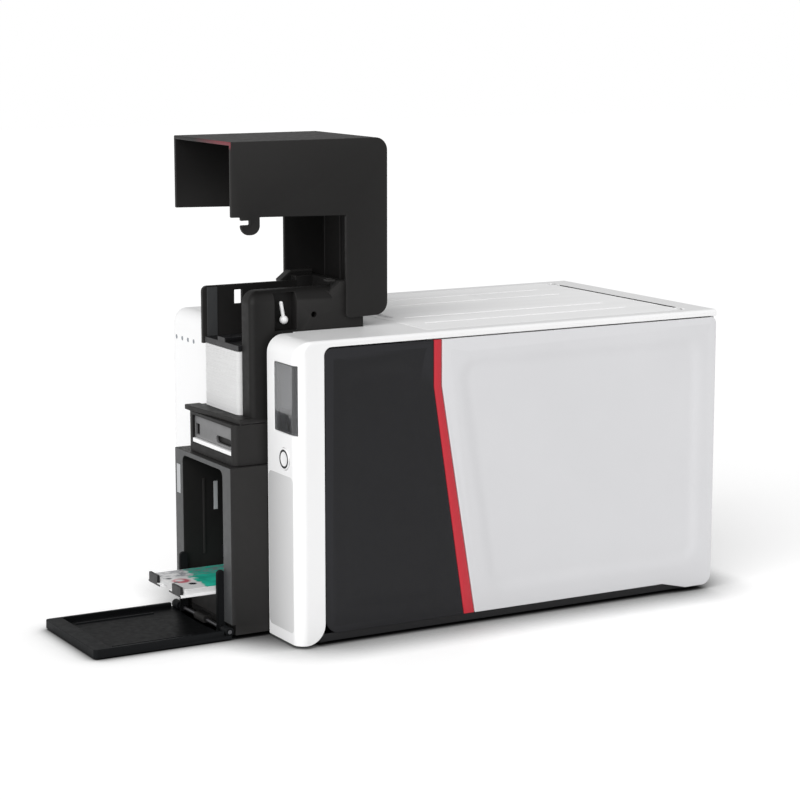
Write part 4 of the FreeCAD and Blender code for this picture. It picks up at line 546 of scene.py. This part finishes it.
def finish_edges(piece, width, steps=2, angle=35, solid=None):
    """Round the edges sharper than an angle and even out the shading."""
    alone(piece)
    if width:
        bpy.ops.object.modifier_add(type="BEVEL")
        bevel = piece.modifiers[-1]
        bevel.width, bevel.segments, bevel.limit_method = width, steps, "ANGLE"
        bevel.angle_limit = math.radians(angle)
        bevel.use_clamp_overlap = False
        bevel.miter_outer = "MITER_SHARP"
        bpy.ops.object.modifier_apply(modifier=bevel.name)
        if solid:
            tuck(piece, solid, 0.6 * width)
    bpy.ops.object.shade_smooth_by_angle(angle=SMOOTH_ANGLE)
    bpy.ops.object.modifier_add(type="WEIGHTED_NORMAL")
    weighted = piece.modifiers[-1]
    weighted.keep_sharp = True
    bpy.ops.object.modifier_apply(modifier=weighted.name)


def tuck(piece, solid, reach):
    """Bring back the points that a bevel threw off the solid's surface."""
    mesh = solid.data
    tree = BVHTree.FromPolygons([point.co for point in mesh.vertices],
                                [face.vertices for face in mesh.polygons])
    for point in piece.data.vertices:
        spot, _, _, distance = tree.find_nearest(point.co)
        if distance > reach:
            point.co = spot


def coat(piece, *choices):
    """Materials by name: the first covers the piece, each other one the faces its test picks."""
    piece.data.materials.clear()
    for slot, choice in enumerate(choices):
        name, test = (choice, None) if isinstance(choice, str) else choice
        piece.data.materials.append(MATERIALS[name])
        for face in piece.data.polygons:
            if test is None or test(face.center, face.normal):
                face.material_index = slot


def dressed(piece, width, *choices):
    """Soften a piece's edges and give it its materials."""
    finish_edges(piece, width)
    coat(piece, *choices)
    return piece


def seat(piece, node, *replaced):
    """Let a finished piece ride with a node's body, in place of the nodes named."""
    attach(piece, BODY_OF[node])
    if replaced:
        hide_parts(*replaced)
    return piece


def copied(node, name):
    """A merged copy of a CAD node, ready to be shaped."""
    alone(NODES[node])
    bpy.ops.object.duplicate()
    piece = named(name)
    del piece["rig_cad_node"]
    bpy.ops.object.parent_clear(type="CLEAR_KEEP_TRANSFORM")
    edit(piece)
    bpy.ops.mesh.customdata_custom_splitnormals_clear()
    bpy.ops.mesh.select_all(action="SELECT")
    bpy.ops.mesh.remove_doubles(threshold=0.005 * MM)
    bpy.ops.mesh.dissolve_limited(angle_limit=math.radians(0.2))
    done()
    return piece


def softened(node, name, *choices, width=None, steps=2):
    """A CAD node's soft-edged copy in its own materials, standing for the node."""
    if width is None:
        width = detail().metal_edge if choices[0] in FINE else detail().soft_edge
    piece = copied(node, name)
    finish_edges(piece, width, steps, solid=NODES[node])
    coat(piece, *choices)
    return seat(piece, node, node)


def off_axis(node):
    """The distance of a point from the axis along X through a node's middle."""
    low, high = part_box(node)
    y, z = (low.y + high.y) / 2, (low.z + high.z) / 2
    return lambda c: math.hypot(c.y - y, c.z - z)


def span(x, y, z):
    """The two corners of a block, from its reach along each axis."""
    return tuple(zip(x, y, z))


def slab(name, low, high):
    """A block between two corners, to be shaped further."""
    deselect()
    low, high = Vector(low), Vector(high)
    bpy.ops.mesh.primitive_cube_add(size=1, location=(low + high) / 2)
    piece = named(name)
    piece.scale = high - low
    settle(piece)
    return piece


def disc(name, centre, radius, depth, sides):
    """A cylinder along X, to be shaped further."""
    deselect()
    bpy.ops.mesh.primitive_cylinder_add(vertices=sides, radius=radius, depth=depth, location=centre,
                                        rotation=(0, math.pi / 2, 0))
    piece = named(name)
    settle(piece)
    return piece


def joined(name, pieces):
    """Several shaped pieces as one, keeping each one's materials."""
    deselect()
    for piece in pieces:
        piece.select_set(True)
    bpy.context.view_layer.objects.active = pieces[0]
    if len(pieces) > 1:
        bpy.ops.object.join()
    return named(name)


def ribbed(name, spans, material, node, width=None):
    """Soft-edged ribs, each between two corners, as one piece that rides with a node's body."""
    width = detail().soft_edge * 0.6 if width is None else width
    return seat(joined(name, [dressed(slab(name, *ends), width, material) for ends in spans]), node)


def sharpened(piece, short):
    """Draw each run of short edges round the selected face together into one sharp corner."""
    mesh = bmesh.from_edit_mesh(piece.data)
    loop = [v.co.copy() for v in next(face for face in mesh.faces if face.select).verts]
    count = len(loop)
    brief = [(loop[(i + 1) % count] - loop[i]).length < short for i in range(count)]
    runs = []
    for i in range(count):
        if brief[i] and not brief[i - 1]:
            end = i
            while brief[end % count]:
                end += 1
            points = [loop[k % count] for k in range(i, end + 1)]
            before, after = loop[i - 1], loop[(end + 1) % count]
            corner = geometry.intersect_line_line(before, points[0], points[-1], after)[0]
            runs.append((points, corner))
    for points, corner in runs:
        pick(piece, points=lambda v: any((v.co - p).length < 0.02 * MM for p in points))
        bpy.ops.mesh.merge(type="COLLAPSE")
        middle = sum(points, Vector()) / len(points)
        pick(piece, points=lambda v: (v.co - middle).length < 0.3 * MM)
        bpy.ops.transform.translate(value=corner - middle)


# Casing

class PRINTER_OT_casing(bpy.types.Operator):
    """Soft-edged shell, lid, base, feet and rear cover"""
    bl_idname = "printer.casing"
    bl_label = "Casing"

    def execute(self, context):
        softened("main_cover", "white_casing", "white")
        softened("base_tray", "dark_base", "black")
        softened("rear_cover", "rear_wall", "pale")
        softened("rubber_feet", "feet", "foot", width=1.0 * MM, steps=3)
        softened("case_screws", "rear_screws", "dark_steel")
        softened("lid_hinge_pin", "lid_pin", "steel")
        self.lid()
        return {"FINISHED"}

    def lid(self):
        """The lid with four low ridges along its top."""
        low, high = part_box("top_lid")
        piece = copied("top_lid", "lid_form")
        finish_edges(piece, detail().soft_edge, solid=NODES["top_lid"])
        coat(piece, "lid")
        seat(piece, "top_lid", "top_lid")
        sixth, inset, half = (high.x - low.x) / 6, 16 * MM, 0.9 * MM
        along, up = (low.y + inset, high.y - 2 * inset), (high.z - SINK, high.z + SINK)
        rails = [span((x - half, x + half), along, up)
                 for x in (-sixth, -2 * sixth, sixth, 2 * sixth)]
        ribbed("lid_ridges", rails, "lid", "top_lid", 0.4 * MM)


def outer_face(side, area=5e-3):
    """The test for a side panel's wide outer face."""
    return lambda face: face.normal.x * side > 0.99 and face.calc_area() > area


class PRINTER_OT_side_panels(bpy.types.Operator):
    """Dished charcoal and pale panels with the slanted strip between them"""
    bl_idname = "printer.side_panels"
    bl_label = "Side panels"

    def execute(self, context):
        for label, side in (("near", 1), ("far", -1)):
            self.panel("dark_panel_" + label, "charcoal", side)
            self.panel("pale_panel_" + label, "pale", side)
            self.strip("accent_strip_" + label, side)
        return {"FINISHED"}

    def panel(self, node, material, side):
        """A flat border, then a soft step down to a wide field with round corners."""
        piece = copied(node, node + "_form")
        rim, corner = detail().dish_border, detail().dish_round
        slope, depth = detail().dish_slope, detail().dish_depth
        outer = 4.9 * MM
        field = outer_face(side)
        edit(piece)
        pick(piece, faces=field)
        bpy.ops.mesh.inset(thickness=outer, depth=0)
        sharpened(piece, 3 * MM)
        pick(piece, faces=field)
        bpy.ops.mesh.inset(thickness=rim - outer, depth=0)
        if node.startswith("pale"):
            self.straight_foot(piece, node, field)
        bent = lambda loop: field(loop.face) and math.pi - loop.calc_angle() > math.radians(40)
        pick(piece, points=lambda v: any(bent(loop) for loop in v.link_loops))
        bpy.ops.mesh.bevel(offset=corner, segments=8, affect="VERTICES")
        pick(piece, faces=field)
        for share in DISH_STEPS:
            bpy.ops.mesh.inset(thickness=slope / len(DISH_STEPS), depth=-depth * share)
        done()
        finish_edges(piece, detail().soft_edge, 3, 50)
        coat(piece, material)
        seat(piece, node, node)

    def straight_foot(self, piece, node, field):
        """The field's foot runs straight on to its rear corner, above the panel's lower heel."""
        high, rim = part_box(node)[1], detail().dish_border
        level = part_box(node.replace("pale", "dark"))[0].z + rim
        heel = lambda v: v.co.z < level + 0.5 * MM and v.co.y > high.y - 60 * MM \
            and any(field(f) for f in v.link_faces)
        pick(piece, points=heel)
        bpy.ops.mesh.merge(type="COLLAPSE")
        pick(piece, points=heel)
        corner = next(v.co.copy() for v in bmesh.from_edit_mesh(piece.data).verts if v.select)
        bpy.ops.transform.translate(value=(0, high.y - rim - corner.y, level - corner.z))

    def strip(self, node, side):
        """The strip's face is bent along its middle into two long facets."""
        piece = copied(node, node + "_form")
        edit(piece)
        pick(piece, faces=outer_face(side, 5e-4))
        bpy.ops.mesh.inset(thickness=2.2 * MM, depth=0.55 * MM)
        done()
        seat(dressed(piece, detail().soft_edge * 0.6, "trim"), node, node)


class PRINTER_OT_front_strip(bpy.types.Operator):
    """Window, level flag, push button and lamps in the front strips"""
    bl_idname = "printer.front_strip"
    bl_label = "Front strip"

    def execute(self, context):
        softened("window_lens", "window", "window", width=0.5 * MM)
        softened("window_backing", "window_tray", "tray_grey", width=0.3 * MM)
        softened("level_flag", "flag", "black", width=0.5 * MM)
        softened("indicator_lamps", "lamps", "lamp", width=0.35 * MM, steps=3)
        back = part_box("panel_board")[1].y
        softened("panel_board", "button_board", "circuit",
                 ("black", lambda c, n: c.y < back - 1.7 * MM))
        self.button()
        self.shadowed_bare_strip()
        return {"FINISHED"}

    def shadowed_bare_strip(self):
        """The thin grey strip below the button, left without its lettering; its grey, darkest beside
        the feeder, is painted shadow of the feeder tower.
        """
        shell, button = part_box("main_cover"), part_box("push_button")
        front = shell[0].y
        low = Vector((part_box("window_backing")[0].x - 8 * MM, front - 0.12 * MM, shell[0].z + 8 * MM))
        high = Vector((button[1].x + 3.5 * MM, front + 0.5 * MM, button[0].z - 2.5 * MM))
        # A grey sheet laid on the front strip as the feeder tower's painted shadow.
        piece = slab("shadowed_bare_strip", low, high)
        edit(piece)
        pick(piece, edges=lambda e: abs(e.verts[0].co.y - e.verts[1].co.y) > 0.3 * MM)
        bpy.ops.mesh.bevel(offset=4 * MM, segments=5)
        done()
        seat(dressed(piece, 0.08 * MM, "painted_strip_shadow"), "main_cover")

    def button(self):
        """A disc with a fine ring groove and a shallow dish for the fingertip."""
        low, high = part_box("push_button")
        piece = copied("push_button", "ring_button")
        edit(piece)
        front = lambda face: face.normal.y < -0.99 and face.calc_center_median().y < low.y + 0.1 * MM
        pick(piece, faces=front)
        bpy.ops.mesh.inset(thickness=1.0 * MM)
        bpy.ops.mesh.inset(thickness=0.25 * MM, depth=-0.5 * MM)
        bpy.ops.mesh.inset(thickness=0.8 * MM)
        bpy.ops.mesh.inset(thickness=0.25 * MM, depth=0.5 * MM)
        for _ in range(3):
            bpy.ops.mesh.inset(thickness=0.9 * MM, depth=-0.12 * MM)
        done()
        finish_edges(piece, 0.12 * MM, 2, 30)
        middle = Vector(((low.x + high.x) / 2, 0, (low.z + high.z) / 2))
        reach = lambda c: (Vector((c.x, 0, c.z)) - middle).length
        groove = lambda c, n: 4.9 * MM < reach(c) < 6.5 * MM and c.y < low.y + 0.62 * MM
        coat(piece, "white", ("lip", groove))
        seat(piece, "push_button", "push_button")


# Hopper, door and tray

class PRINTER_OT_hopper(bpy.types.Operator):
    """Hopper with its front lip, inner ribs, strips painted as highlights and latch block"""
    bl_idname = "printer.hopper"
    bl_label = "Hopper"

    def execute(self, context):
        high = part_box("hopper_housing")[1]
        front = min(v.co.y for v in NODES["hopper_housing"].data.vertices if v.co.z > high.z - 1 * MM)
        softened("hopper_housing", "hopper_form", "tower",
                 ("lip", lambda c, n: n.y < -0.8 and c.y < front + 1 * MM and c.z > 20 * MM))
        softened("door_hinge_pin", "door_pin", "dark_steel")
        self.fittings(front, high)
        return {"FINISHED"}

    def fittings(self, front, high):
        """Ribs on the back and side walls, two pale strips on the left painted as highlights, and a
        latch block.
        """
        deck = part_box("printed_cards")
        left, right = deck[0].x - 6 * MM, deck[1].x + 6 * MM
        low, back = deck[1].z, high.y - 3 * MM
        rib = detail().rib
        rise = (low + 8 * MM, high.z - 22 * MM)
        spans = []
        for share in (0.18, 0.5, 0.82):
            x = left + (right - left) * share
            spans.append(span((x - rib, x + rib), (back - rib, back + SINK), rise))
        for y in (front + 16 * MM, front + 40 * MM, front + 64 * MM):
            spans.append(span((left - SINK, left + rib), (y - rib, y + rib), rise))
            spans.append(span((right - rib, right + SINK), (y - rib, y + rib), rise))
        ribbed("hopper_ribs", spans, "tower", "hopper_housing")
        top = low + 74 * MM
        # Painted highlights: pale strips on the left jamb's front and on the left wall.
        spans = [span((left - 9.8 * MM, left - 4 * MM), (front - 0.25 * MM, front + 0.6 * MM),
                      (top - 21 * MM, top)),
                 span((left - SINK, left + 0.3 * MM), (front + 23.9 * MM, front + 27 * MM),
                      (top - 34.5 * MM, top - 13.8 * MM))]
        ribbed("hopper_highlight_strips", spans, "jamb_highlight", "hopper_housing", 0.2 * MM)
        spans = [span((left - SINK, left + 3.2 * MM), (front + 30 * MM, front + 38 * MM),
                      (low + 4 * MM, low + 13 * MM))]
        ribbed("hopper_latch", spans, "black", "hopper_housing")


class PRINTER_OT_output(bpy.types.Operator):
    """Drop-down door, sliding tray and printed cards"""
    bl_idname = "printer.output"
    bl_label = "Output door and tray"

    def execute(self, context):
        softened("output_door", "door_form", "door")
        sheet_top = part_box("printed_cards")[0].z
        softened("output_tray", "tray_form", "white",
                 ("black", lambda c, n: c.z > sheet_top + 0.1 * MM), width=0.3 * MM)
        self.door_ribs()
        card_pile("printed_pile", "printed_cards", 5, printed=True)
        return {"FINISHED"}

    def door_ribs(self):
        """Two stiffening ribs on the door's inside."""
        low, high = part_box("output_door")
        floor, inset, rib = 4 * MM, 12 * MM, detail().rib
        spans = [span(x, (low.y + 18 * MM, high.y - 26 * MM), (floor - SINK, floor + rib))
                 for x in ((low.x + inset, low.x + inset + 2 * rib),
                           (high.x - inset - 2 * rib, high.x - inset))]
        ribbed("door_ribs", spans, "door", "output_door")


def card_shape(name, low, high, height):
    """One card: a rounded outline given its thickness."""
    piece = slab(name, (low.x, low.y, 0), (high.x, high.y, height))
    edit(piece)
    pick(piece, edges=lambda e: abs(e.verts[0].co.z - e.verts[1].co.z) > height / 2)
    bpy.ops.mesh.bevel(offset=CARD_CORNER, segments=4)
    done()
    alone(piece)
    bpy.ops.object.shade_smooth_by_angle(angle=math.radians(40))
    return piece


def card_pile(name, node, count, printed=False):
    """A pile of single cards, each a little out of line with the next."""
    low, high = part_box(node)
    pitch = (high.z - low.z) / count
    shuffle = random.Random(count)
    master = card_shape(name, low, high, pitch * 0.93)
    coat(master, "card", ("card_edge", lambda c, n: abs(n.z) < 0.5))
    made = []
    for i in range(count):
        alone(master)
        bpy.ops.object.duplicate()
        piece = bpy.context.view_layer.objects.active
        gap = detail().card_gap
        piece.location = (shuffle.uniform(-gap, gap), shuffle.uniform(-gap, gap), low.z + i * pitch)
        settle(piece)
        made.append(piece)
    bpy.data.objects.remove(master)
    if printed:
        top = made.pop()
        top.data.materials.append(printed_face(low, high))
        for face in top.data.polygons:
            if face.normal.z > 0.9:
                face.material_index = 2
        top.name = top.data.name = "printed_top"
        seat(top, node, node)
    pile = joined(name, made)
    return seat(pile, node, node)


# Feeder

class PRINTER_OT_feeder(bpy.types.Operator):
    """Card feeder, its base, gauge lever, weight and blank cards"""
    bl_idname = "printer.feeder"
    bl_label = "Card feeder"

    def execute(self, context):
        softened("feeder_frame", "feeder_form", "tower")
        softened("feeder_base", "feeder_foot", "tower")
        softened("exit_plate", "front_plate", "plate", width=0.3 * MM)
        softened("exit_bar", "front_bar", "white", width=0.4 * MM)
        softened("cover_hinge_pins", "cover_pins", "dark_steel")
        softened("gauge_lever", "lever_form", "white", width=0)
        softened("card_weight", "weight_form", "black")
        card_pile("blank_pile", "blank_cards", 58)
        self.fittings()
        return {"FINISHED"}

    def fittings(self):
        """Guide rib and clip on the feeder."""
        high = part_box("feeder_frame")[1]
        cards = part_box("blank_cards")
        wall_top = max(v.co.z for v in NODES["feeder_frame"].data.vertices
                       if v.co.x < cards[0].x and v.co.y < cards[0].y + 8 * MM)
        left, front, _ = cards[0]
        spans = [span((left - 1.2 * MM, left - 0.5 * MM), (front + 3 * MM, front + 11 * MM),
                      (cards[1].z + 2 * MM, wall_top - 1 * MM))]
        ribbed("feeder_guide", spans, "lip", "feeder_frame", 0.3 * MM)
        back = cards[1].y
        spans = [span((high.x - 9 * MM, high.x - 3 * MM), (back - 22 * MM, back - 16 * MM),
                      (high.z - SINK, high.z + 1.2 * MM)),
                 span((high.x - 8 * MM, high.x - 4 * MM), (back - 20.5 * MM, back - 17.5 * MM),
                      (high.z + 1 * MM, high.z + 1.9 * MM))]
        ribbed("feeder_clip", spans, "tower", "feeder_frame", 0.3 * MM)


class PRINTER_OT_feeder_cover(bpy.types.Operator):
    """The swung-open feeder cover with its inner ribs and the gleam on its rim"""
    bl_idname = "printer.feeder_cover"
    bl_label = "Feeder cover"

    def execute(self, context):
        low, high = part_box("feeder_cover")
        wall = 2.7 * MM
        softened("feeder_cover", "cover_form", "tower",
                 ("gleam", lambda c, n: n.y < -0.3 and c.y < low.y + 4 * MM), width=0.7 * MM, steps=3)
        rib = detail().rib
        spans = []
        for share in (0.3, 0.7):
            x = low.x + (high.x - low.x) * share
            spans.append(span((x - rib, x + rib), (low.y + 8 * MM, high.y - 12 * MM),
                              (high.z - wall - rib, high.z - wall + SINK)))
            spans.append(span((x - rib, x + rib), (high.y - wall - rib, high.y - wall + SINK),
                              (low.z + 8 * MM, high.z - 12 * MM)))
        ribbed("cover_ribs", spans, "tower", "feeder_cover")
        return {"FINISHED"}


# Mechanism

class PRINTER_OT_transport(bpy.types.Operator):
    """Side frames, rollers, belts, motor and card rails"""
    bl_idname = "printer.transport"
    bl_label = "Card transport"

    def execute(self, context):
        for node in ("frame_plate_left", "frame_plate_right", "tie_bars", "card_rails"):
            softened(node, node + "_form", "steel")
        for node in ("pickup_roller", "feed_roller", "platen_roller", "relay_roller", "exit_roller",
                     "cleaning_roller"):
            self.roller(node)
        softened("drive_belt", "long_belt", "belt")
        softened("motor_belt", "short_belt", "belt")
        softened("motor_pulley", "motor_wheel_form", "steel")
        self.motor()
        return {"FINISHED"}

    def roller(self, node):
        """Rubber between the plates, white pulleys outside them, steel elsewhere."""
        away = off_axis(node)
        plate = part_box("frame_plate_left")[0].x
        softened(node, node + "_form", "steel",
                 ("rubber", lambda c, n: c.x > plate + 2.5 * MM and away(c) > 4.5 * MM),
                 ("white", lambda c, n: c.x < plate and away(c) > 3.5 * MM))

    def motor(self):
        low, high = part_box("drive_motor")
        softened("drive_motor", "motor_form", "dark_steel",
                 ("alloy", lambda c, n: c.x < low.x + 9 * MM or c.x > high.x - 9 * MM), width=0.6 * MM)
        screws = []
        for y in (low.y + 5 * MM, high.y - 5 * MM):
            for z in (low.z + 5 * MM, high.z - 5 * MM):
                head = disc("motor_screw", (high.x + 0.6 * MM, y, z), 2.2 * MM, 1.4 * MM, 20)
                screws.append(dressed(head, 0.3 * MM, "steel"))
        seat(joined("motor_screws", screws), "drive_motor")


class PRINTER_OT_ribbon(bpy.types.Operator):
    """Ribbon cassette, spools, film, print head and ribbon motor"""
    bl_idname = "printer.ribbon"
    bl_label = "Ribbon and head"

    def execute(self, context):
        softened("ribbon_cassette", "cassette_form", "grey")
        for node in ("supply_spool", "takeup_spool"):
            away = off_axis(node)
            softened(node, node + "_form", "steel", ("white", lambda c, n: 2.8 * MM < away(c) < 6 * MM),
                     ("film", lambda c, n: away(c) >= 6 * MM))
        softened("ribbon_web", "ribbon_form", "film", width=0)
        softened("ribbon_motor", "ribbon_motor_form", "dark_steel", width=0.6 * MM)
        softened("head_bracket", "bracket_form", "steel")
        low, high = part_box("print_head")
        softened("print_head", "head_form", "alloy", ("card", lambda c, n: c.z < low.z + 2.2 * MM))
        return {"FINISHED"}


class PRINTER_OT_electronics(bpy.types.Operator):
    """Control board and its parts, sockets, power inlet and rocker"""
    bl_idname = "printer.electronics"
    bl_label = "Electronics"

    def execute(self, context):
        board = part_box("control_board")
        softened("control_board", "board_form", "circuit",
                 ("black", lambda c, n: c.x > board[0].x + 1.7 * MM))
        softened("usb_socket", "usb_shell", "steel")
        softened("network_socket", "network_shell", "steel")
        softened("power_inlet", "inlet_form", "black", ("steel", self.is_prong),
                 width=detail().metal_edge)
        softened("power_rocker", "rocker_form", "black", width=0.5 * MM)
        softened("rocker_housing", "rocker_case_form", "black", width=0.3 * MM)
        self.board_parts(board)
        self.contacts()
        return {"FINISHED"}

    def is_prong(self, centre, normal):
        low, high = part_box("power_inlet")
        return math.hypot(centre.x - (low.x + high.x) / 2, centre.z - (low.z + high.z) / 2) < 1.6 * MM

    def board_parts(self, board):
        """Capacitors and connectors in rows on the control board."""
        low, high = board
        made = []
        for i in range(8):
            place = (high.x - 0.2 * MM, low.y + 14 * MM + i * 20 * MM, high.z - 16 * MM)
            can = disc("capacitor", place, 4 * MM, 5 * MM, 24)
            made.append(dressed(can, 0.5 * MM, "dark_steel", ("alloy", lambda c, n: n.x > 0.8)))
        for i in range(5):
            y = low.y + 12 * MM + i * 34 * MM
            plug = slab("plug_row", *span((high.x - 3 * MM, high.x + 3 * MM), (y, y + 18 * MM),
                                          (low.z + 6 * MM, low.z + 12 * MM)))
            made.append(dressed(plug, 0.3 * MM, "white"))
        seat(joined("board_parts", made), "control_board")

    def contacts(self):
        """Gold contacts inside both data sockets."""
        made = []
        for node, count, pitch in (("usb_socket", 4, 1.8), ("network_socket", 8, 1.1)):
            low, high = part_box(node)
            middle = (low.x + high.x) / 2
            if node == "usb_socket":
                tongue = slab("usb_tongue", *span(
                    (middle - 3.6 * MM, middle + 3.6 * MM), (low.y + 2 * MM, high.y - 2 * MM),
                    (low.z + 4 * MM, low.z + 6.2 * MM)))
                made.append(dressed(tongue, 0.2 * MM, "black"))
            for i in range(count):
                x = middle + (i - (count - 1) / 2) * pitch * MM
                pin = slab("contact", *span(
                    (x - 0.3 * MM, x + 0.3 * MM), (low.y + 3 * MM, high.y - 3 * MM),
                    (low.z + 6.1 * MM, low.z + 6.6 * MM)))
                made.append(dressed(pin, 0.1 * MM, "gold"))
        seat(joined("socket_contacts", made), "usb_socket")


# Stage

def studio_floor():
    """White floor that keeps the printer's shadow, with a painted contact shadow where ambient
    occlusion darkens its colour and glow; the camera and glossy rays see it brighter.
    """
    settings = bpy.context.scene.printer_stage
    material = bpy.data.materials.new("studio_floor")
    graph = Graph(material)
    graph.nodes.clear()
    # Painted contact shadow: ambient occlusion darkens the floor's colour and glow near the printer.
    near = graph.add("ShaderNodeAmbientOcclusion")
    graph.feed(near, Distance=settings.contact)
    open_share = graph.maths("POWER", near.outputs["AO"], settings.contact_depth)
    plain = graph.add("ShaderNodeBsdfDiffuse")
    graph.feed(plain, Color=graph.mix(open_share, BLACK, FLOOR_TONE))
    glow = graph.add("ShaderNodeEmission")
    seen = graph.times(graph.seen(), open_share)
    graph.feed(glow, Color=WHITE, Strength=graph.times(seen, settings.floor_glow))
    both = graph.add("ShaderNodeAddShader")
    graph.plug(both.inputs, plain.outputs[0], glow.outputs[0])
    graph.feed(graph.add("ShaderNodeOutputMaterial"), Surface=both.outputs[0])
    return material


class PRINTER_OT_stage(bpy.types.Operator):
    """Pale floor, soft light and the photograph's camera"""
    bl_idname = "printer.stage"
    bl_label = "Stage"

    def execute(self, context):
        self.floor()
        self.surroundings()
        self.light()
        self.camera()
        context.scene.view_settings.view_transform = "Standard"
        return {"FINISHED"}

    def floor(self):
        deselect()
        bpy.ops.mesh.primitive_plane_add(size=12)
        plane = bpy.context.view_layer.objects.active
        plane.name = "studio_floor"
        plane.data.materials.append(studio_floor())

    def surroundings(self):
        settings = bpy.context.scene.printer_stage
        world = bpy.data.worlds.new("pale_surroundings")
        bpy.context.scene.world = world
        graph = Graph(world)
        base = graph.nodes["Background"]
        graph.feed(base, Color=WHITE, Strength=settings.sky)
        white = graph.add("ShaderNodeBackground")
        graph.feed(white, Color=WHITE)
        camera_ray = graph.add("ShaderNodeLightPath").outputs["Is Camera Ray"]
        blend = graph.add("ShaderNodeMixShader")
        graph.plug(blend.inputs, camera_ray, base.outputs[0], white.outputs[0])
        graph.feed(graph.nodes["World Output"], Surface=blend.outputs[0])

    def light(self):
        """One very broad light from the camera's right."""
        settings = bpy.context.scene.printer_stage
        data = bpy.data.lights.new("key_light", "SUN")
        data.energy, data.angle = settings.key_power, settings.key_spread
        lamp = bpy.data.objects.new("key_light", data)
        bpy.context.scene.collection.objects.link(lamp)
        lamp.rotation_mode = "QUATERNION"
        lamp.rotation_quaternion = KEY_AIM.to_track_quat("-Z", "Y")

    def camera(self):
        """The camera solved from the box's corners in the photograph."""
        data = bpy.data.cameras.new("photo_camera")
        data.lens, data.sensor_width = bpy.context.scene.printer_stage.lens, 36
        camera = bpy.data.objects.new("photo_camera", data)
        bpy.context.scene.collection.objects.link(camera)
        turn = Matrix(CAMERA_AXES).transposed().to_4x4()
        camera.matrix_world = Matrix.Translation(CAMERA_PLACE) @ turn
        bpy.context.scene.camera = camera


class PRINTER_PT_sidebar(bpy.types.Panel):
    """Lists the printer's pieces and settings"""
    bl_label = "Card printer"
    bl_idname = "PRINTER_PT_sidebar"
    bl_space_type = "VIEW_3D"
    bl_region_type = "UI"
    bl_category = "Card printer"

    def draw(self, context):
        column = self.layout.column()
        for operator in OPERATORS:
            column.operator(operator.bl_idname)
        scene = context.scene
        for group in (scene.printer_finish, scene.printer_detail, scene.printer_stage):
            for name in group.bl_rna.properties.keys():
                if name not in ("rna_type", "name"):
                    column.prop(group, name)


OPERATORS = (PRINTER_OT_casing, PRINTER_OT_side_panels, PRINTER_OT_front_strip, PRINTER_OT_hopper,
             PRINTER_OT_output, PRINTER_OT_feeder, PRINTER_OT_feeder_cover, PRINTER_OT_transport,
             PRINTER_OT_ribbon, PRINTER_OT_electronics, PRINTER_OT_stage)
CLASSES = (FinishSettings, DetailSettings, StageSettings, *OPERATORS, PRINTER_PT_sidebar)


def register():
    for each in CLASSES:
        bpy.utils.register_class(each)
    bpy.types.Scene.printer_finish = PointerProperty(type=FinishSettings)
    bpy.types.Scene.printer_detail = PointerProperty(type=DetailSettings)
    bpy.types.Scene.printer_stage = PointerProperty(type=StageSettings)


def unregister():
    del bpy.types.Scene.printer_finish
    del bpy.types.Scene.printer_detail
    del bpy.types.Scene.printer_stage
    for each in reversed(CLASSES):
        bpy.utils.unregister_class(each)


def main():
    register()
    MATERIALS.update(make_materials())
    for operator in OPERATORS:
        group, name = operator.bl_idname.split(".")
        getattr(getattr(bpy.ops, group), name)()


if __name__ == "__main__":
    main()
